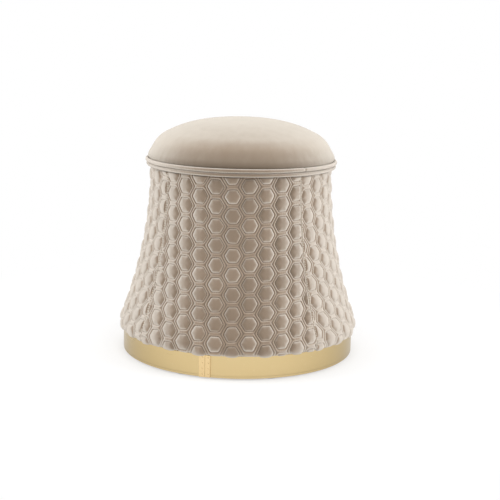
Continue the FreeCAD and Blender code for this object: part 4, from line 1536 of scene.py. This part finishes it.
@dataclass
class Underside:
    """The dust cover: a round of thin cloth stapled under the base board."""

    cloth: bpy.types.Material
    rings: int = 40
    around: int = 192
    staples: int = 16
    slack: float = 1.6 * MM
    scallop: float = 0.35 * MM
    wrinkle: float = 0.3 * MM

    def build(self) -> list[bpy.types.Object]:
        """Makes the cover, slack between its staples.

        Returns:
            The one piece.
        """
        low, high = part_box("dust_cover")
        radius = high.x
        share = np.linspace(0, 1, self.rings + 1)[1:, None]
        bearing = full_circle(self.around)
        slack = self.slack * (1 - share ** 2) + self.scallop * np.cos(bearing * self.staples) * share ** 6
        lower = round_axis(radius * share, bearing, low.z - slack)
        lower[..., 2] -= ripples(lower[..., 0], lower[..., 1], 90 * MM, 4) * self.wrinkle
        upper = lower + np.array([0, 0, high.z - low.z])
        points = np.concatenate([lower.reshape(-1, 3), upper[::-1].reshape(-1, 3)])
        poles = [[0, 0, lower[0, :, 2].mean()], [0, 0, upper[0, :, 2].mean()]]
        faces = grid_faces(2 * self.rings, self.around, False, True)
        count, last = len(points), len(points) - self.around
        for j in range(self.around):
            k = (j + 1) % self.around
            faces += [(count, j, k), (count + 1, last + k, last + j)]
        cover = new_piece("dust_cover_cloth", np.concatenate([points, poles]), faces, self.cloth)
        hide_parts("dust_cover")
        tie(cover)
        return [cover]


@dataclass
class InnerFrame:
    """Finishes of the frame's own solids that are kept as they are, by how their names start."""

    finishes: dict[str, tuple[str, bpy.types.Material]]

    def build(self) -> list[bpy.types.Object]:
        """Gives each kept solid the finish of the first name that it starts with.

        Returns:
            The solids.
        """
        kept = [(name, piece) for name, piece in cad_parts.items() if not piece.hide_render]
        for name, piece in kept:
            slot, material = next(found for start, found in self.finishes.items() if name.startswith(start))
            piece.data.materials.clear()
            piece.data.materials.append(material)
        return [piece for _, piece in kept]


@dataclass(frozen=True)
class Lamp:
    """A soft square lamp, with its place and size in metres and its power in watts."""

    name: str
    place: tuple[float, float, float]
    size: float
    power: float

    def hang(self, target: Vector) -> None:
        """Adds the lamp to the scene, out of sight and facing a target.

        Args:
            target: The point that it faces.
        """
        data = bpy.data.lights.new(self.name, "AREA")
        data.energy = self.power
        data.size = self.size
        lamp = bpy.data.objects.new(self.name, data)
        lamp.location = self.place
        lamp.visible_glossy = False
        lamp.visible_camera = False
        lamp.rotation_euler = (target - Vector(self.place)).to_track_quat("-Z", "Y").to_euler()
        bpy.context.scene.collection.objects.link(lamp)


@dataclass
class Studio:
    """White floor, soft lamps and the camera as fitted to the outline."""

    distance: float = 2.0
    height: float = 0.5874
    bearing: float = math.radians(5.8)
    yaw: float = 0.010
    pitch: float = 0.198
    roll: float = 0.024
    lens: float = 77.98
    sensor: float = 36.0
    target: float = 0.22
    ambient: float = 0.35
    floor_reach: float = 30.0
    floor_level: float = -0.2 * MM
    floor_grey: float = 0.86
    floor_glow: float = 0.52
    shadow_start: float = 0.32
    shadow_end: float = 0.80
    lamps: tuple[Lamp, ...] = (
        Lamp("top_lamp", (0.0, 0.1, 2.3), 1.7, 31.0),
        Lamp("left_lamp", (-1.9, -0.35, 1.0), 1.3, 27.5),
        Lamp("right_lamp", (1.9, -0.25, 1.0), 1.3, 26.0),
        Lamp("front_lamp", (0.6, -2.5, 1.2), 1.8, 19.5),
        Lamp("under_lamp", (0.0, 0.0, -1.5), 1.6, 7.0),
    )

    def build(self) -> None:
        """Sets the whole studio up."""
        self._world()
        self._floor()
        for lamp in self.lamps:
            lamp.hang(Vector((0, 0, self.target)))
        self._camera()
        bpy.context.scene.view_settings.view_transform = "Standard"

    def _world(self) -> None:
        """Even light that the camera and metal see as white."""
        world = bpy.data.worlds.new("studio")
        bpy.context.scene.world = world
        world.use_nodes = True
        graph = Graph(world.node_tree)
        path = graph.add("ShaderNodeLightPath")
        seen = path["Is Camera Ray"].at_least(path["Is Glossy Ray"])
        dim, bright = (graph.add("ShaderNodeBackground", None, {"Color": WHITE, "Strength": strength})[0]
                       for strength in (self.ambient, 1.0))
        mixed = graph.add("ShaderNodeMixShader", None, {0: seen, 1: dim, 2: bright})[0]
        graph.add("ShaderNodeOutputWorld", None, {"Surface": mixed})

    def _floor(self) -> None:
        """A pale floor, clear from below, that keeps the shadow near the object and is white farther off."""
        graph = SurfaceGraph("studio_floor")
        place = graph.add("ShaderNodeTexCoord")["Object"]
        away = graph.add("ShaderNodeVectorMath", {"operation": "LENGTH"}, {0: place})["Value"]
        path = graph.add("ShaderNodeLightPath")
        grey = (self.floor_grey, self.floor_grey, self.floor_grey, 1.0)
        matte = graph.add("ShaderNodeBsdfDiffuse", None, {"Color": grey})["BSDF"]
        glow = graph.add("ShaderNodeEmission", None, {"Strength": 1.0})["Emission"]
        shown = away.stepped(self.shadow_start, self.shadow_end).at_least(self.floor_glow)
        glowing = path["Is Camera Ray"].at_least(path["Is Glossy Ray"]) * shown
        top = graph.add("ShaderNodeMixShader", None, {0: glowing, 1: matte, 2: glow})[0]
        passed = graph.add("ShaderNodeNewGeometry")["Backfacing"].at_least(path["Is Shadow Ray"])
        clear = graph.add("ShaderNodeBsdfTransparent")["BSDF"]
        material = graph.close(graph.add("ShaderNodeMixShader", None, {0: passed, 1: top, 2: clear})[0])
        mesh = bpy.data.meshes.new("studio_floor")
        reach, level = self.floor_reach, self.floor_level
        corners = [(x * reach, y * reach, level) for x, y in ((-1, -1), (1, -1), (1, 1), (-1, 1))]
        mesh.from_pydata(corners, [], [(0, 1, 2, 3)])
        mesh.materials.append(material)
        link_piece("studio_floor", mesh)

    def _camera(self) -> None:
        """Sets the camera up at the photograph's viewing angle."""
        data = bpy.data.cameras.new("camera")
        data.lens = self.lens
        data.sensor_width = self.sensor
        camera = bpy.data.objects.new("camera", data)
        aside, ahead = self.distance * math.sin(self.bearing), self.distance * math.cos(self.bearing)
        place = Matrix.Translation(Vector((aside, -ahead, self.height)))
        turn = Matrix.Rotation(self.bearing - self.yaw, 4, "Z")
        tilt = Matrix.Rotation(QUARTER - self.pitch, 4, "X")
        camera.matrix_world = place @ turn @ tilt @ Matrix.Rotation(self.roll, 4, "Z")
        bpy.context.scene.collection.objects.link(camera)
        bpy.context.scene.camera = camera


def frame_finishes() -> dict[str, tuple[str, bpy.types.Material]]:
    """Makes the finishes of the frame's kept solids.

    Returns:
        Slot and finish by how a solid's name starts; the empty name takes the rest.
    """
    plywood = Board("plywood", (0.52, 0.36, 0.19), (0.70, 0.53, 0.32), Grain.PLIES).make()
    fibre = Board("fibreboard", (0.30, 0.19, 0.10), (0.42, 0.29, 0.17), Grain.FIBRES).make()
    thin = Board("hardboard", (0.20, 0.11, 0.05), (0.29, 0.17, 0.09), Grain.FIBRES, 0.6, 140.0).make()
    webbing = Board("webbing", (0.02, 0.02, 0.02), (0.06, 0.055, 0.05), Grain.WEAVE, 0.85).make()
    wadding = Board("wadding", (0.78, 0.78, 0.76), (0.90, 0.90, 0.88), Grain.PLAIN, 0.95, 60.0).make()
    nylon = Board("nylon", (0.74, 0.73, 0.70), (0.82, 0.81, 0.78), Grain.PLAIN, 0.45, 200.0).make()
    steel = Metal("steel", (0.52, 0.52, 0.53), (0.68, 0.68, 0.68), 0.34, (300.0, 300.0, 300.0)).make()
    plate = Metal("bright_brass", (0.76, 0.56, 0.29), (0.88, 0.70, 0.42), 0.24).make()
    return {
        "joint_plate": ("brass", plate),
        "plinth_ring": ("fibreboard", fibre),
        "skin_stave": ("thin_board", thin),
        "webbing_staples": ("steel", steel),
        "dust_cover_staples": ("steel", steel),
        "webbing": ("webbing", webbing),
        "hem_roll": ("wadding", wadding),
        "floor_glides": ("nylon", nylon),
        "rib_screws": ("steel", steel),
        "plinth_screws": ("steel", steel),
        "glide_screws": ("steel", steel),
        "": ("plywood", plywood),
    }


def main() -> None:
    """Builds every piece and the studio."""
    logging.basicConfig(level=logging.INFO)
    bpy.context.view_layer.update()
    velvet = Velvet("taupe_velvet").make()
    seat_velvet = Velvet("seat_velvet", (0.256, 0.198, 0.146), (0.525, 0.480, 0.420), 1.25).make()
    thread = Thread("taupe_thread", (0.30, 0.235, 0.17), (0.46, 0.38, 0.29)).make()
    seam_thread = Thread("pale_thread", (0.60, 0.53, 0.45), (0.76, 0.69, 0.60)).make()
    brass = Metal("satin_brass", (0.66, 0.50, 0.25), (0.78, 0.63, 0.37), 0.30).make()
    cloth = Board("dust_cloth", (0.012, 0.012, 0.012), (0.035, 0.035, 0.035), Grain.WEAVE, 0.9).make()
    stitches = StitchRow()
    assemblies = (
        Skirt(Bell(), Quilting(), velvet, thread, seam_thread, stitches),
        SeatDome(seat_velvet),
        DoubleWelt(velvet, thread, stitches),
        Plinth(brass),
        Underside(cloth),
        InnerFrame(frame_finishes()),
    )
    for assembly in assemblies:
        for piece in assembly.build():
            log.info("%s: %s, %d faces", type(assembly).__name__, piece.name, len(piece.data.polygons))
    Studio().build()


if __name__ == "__main__":
    main()
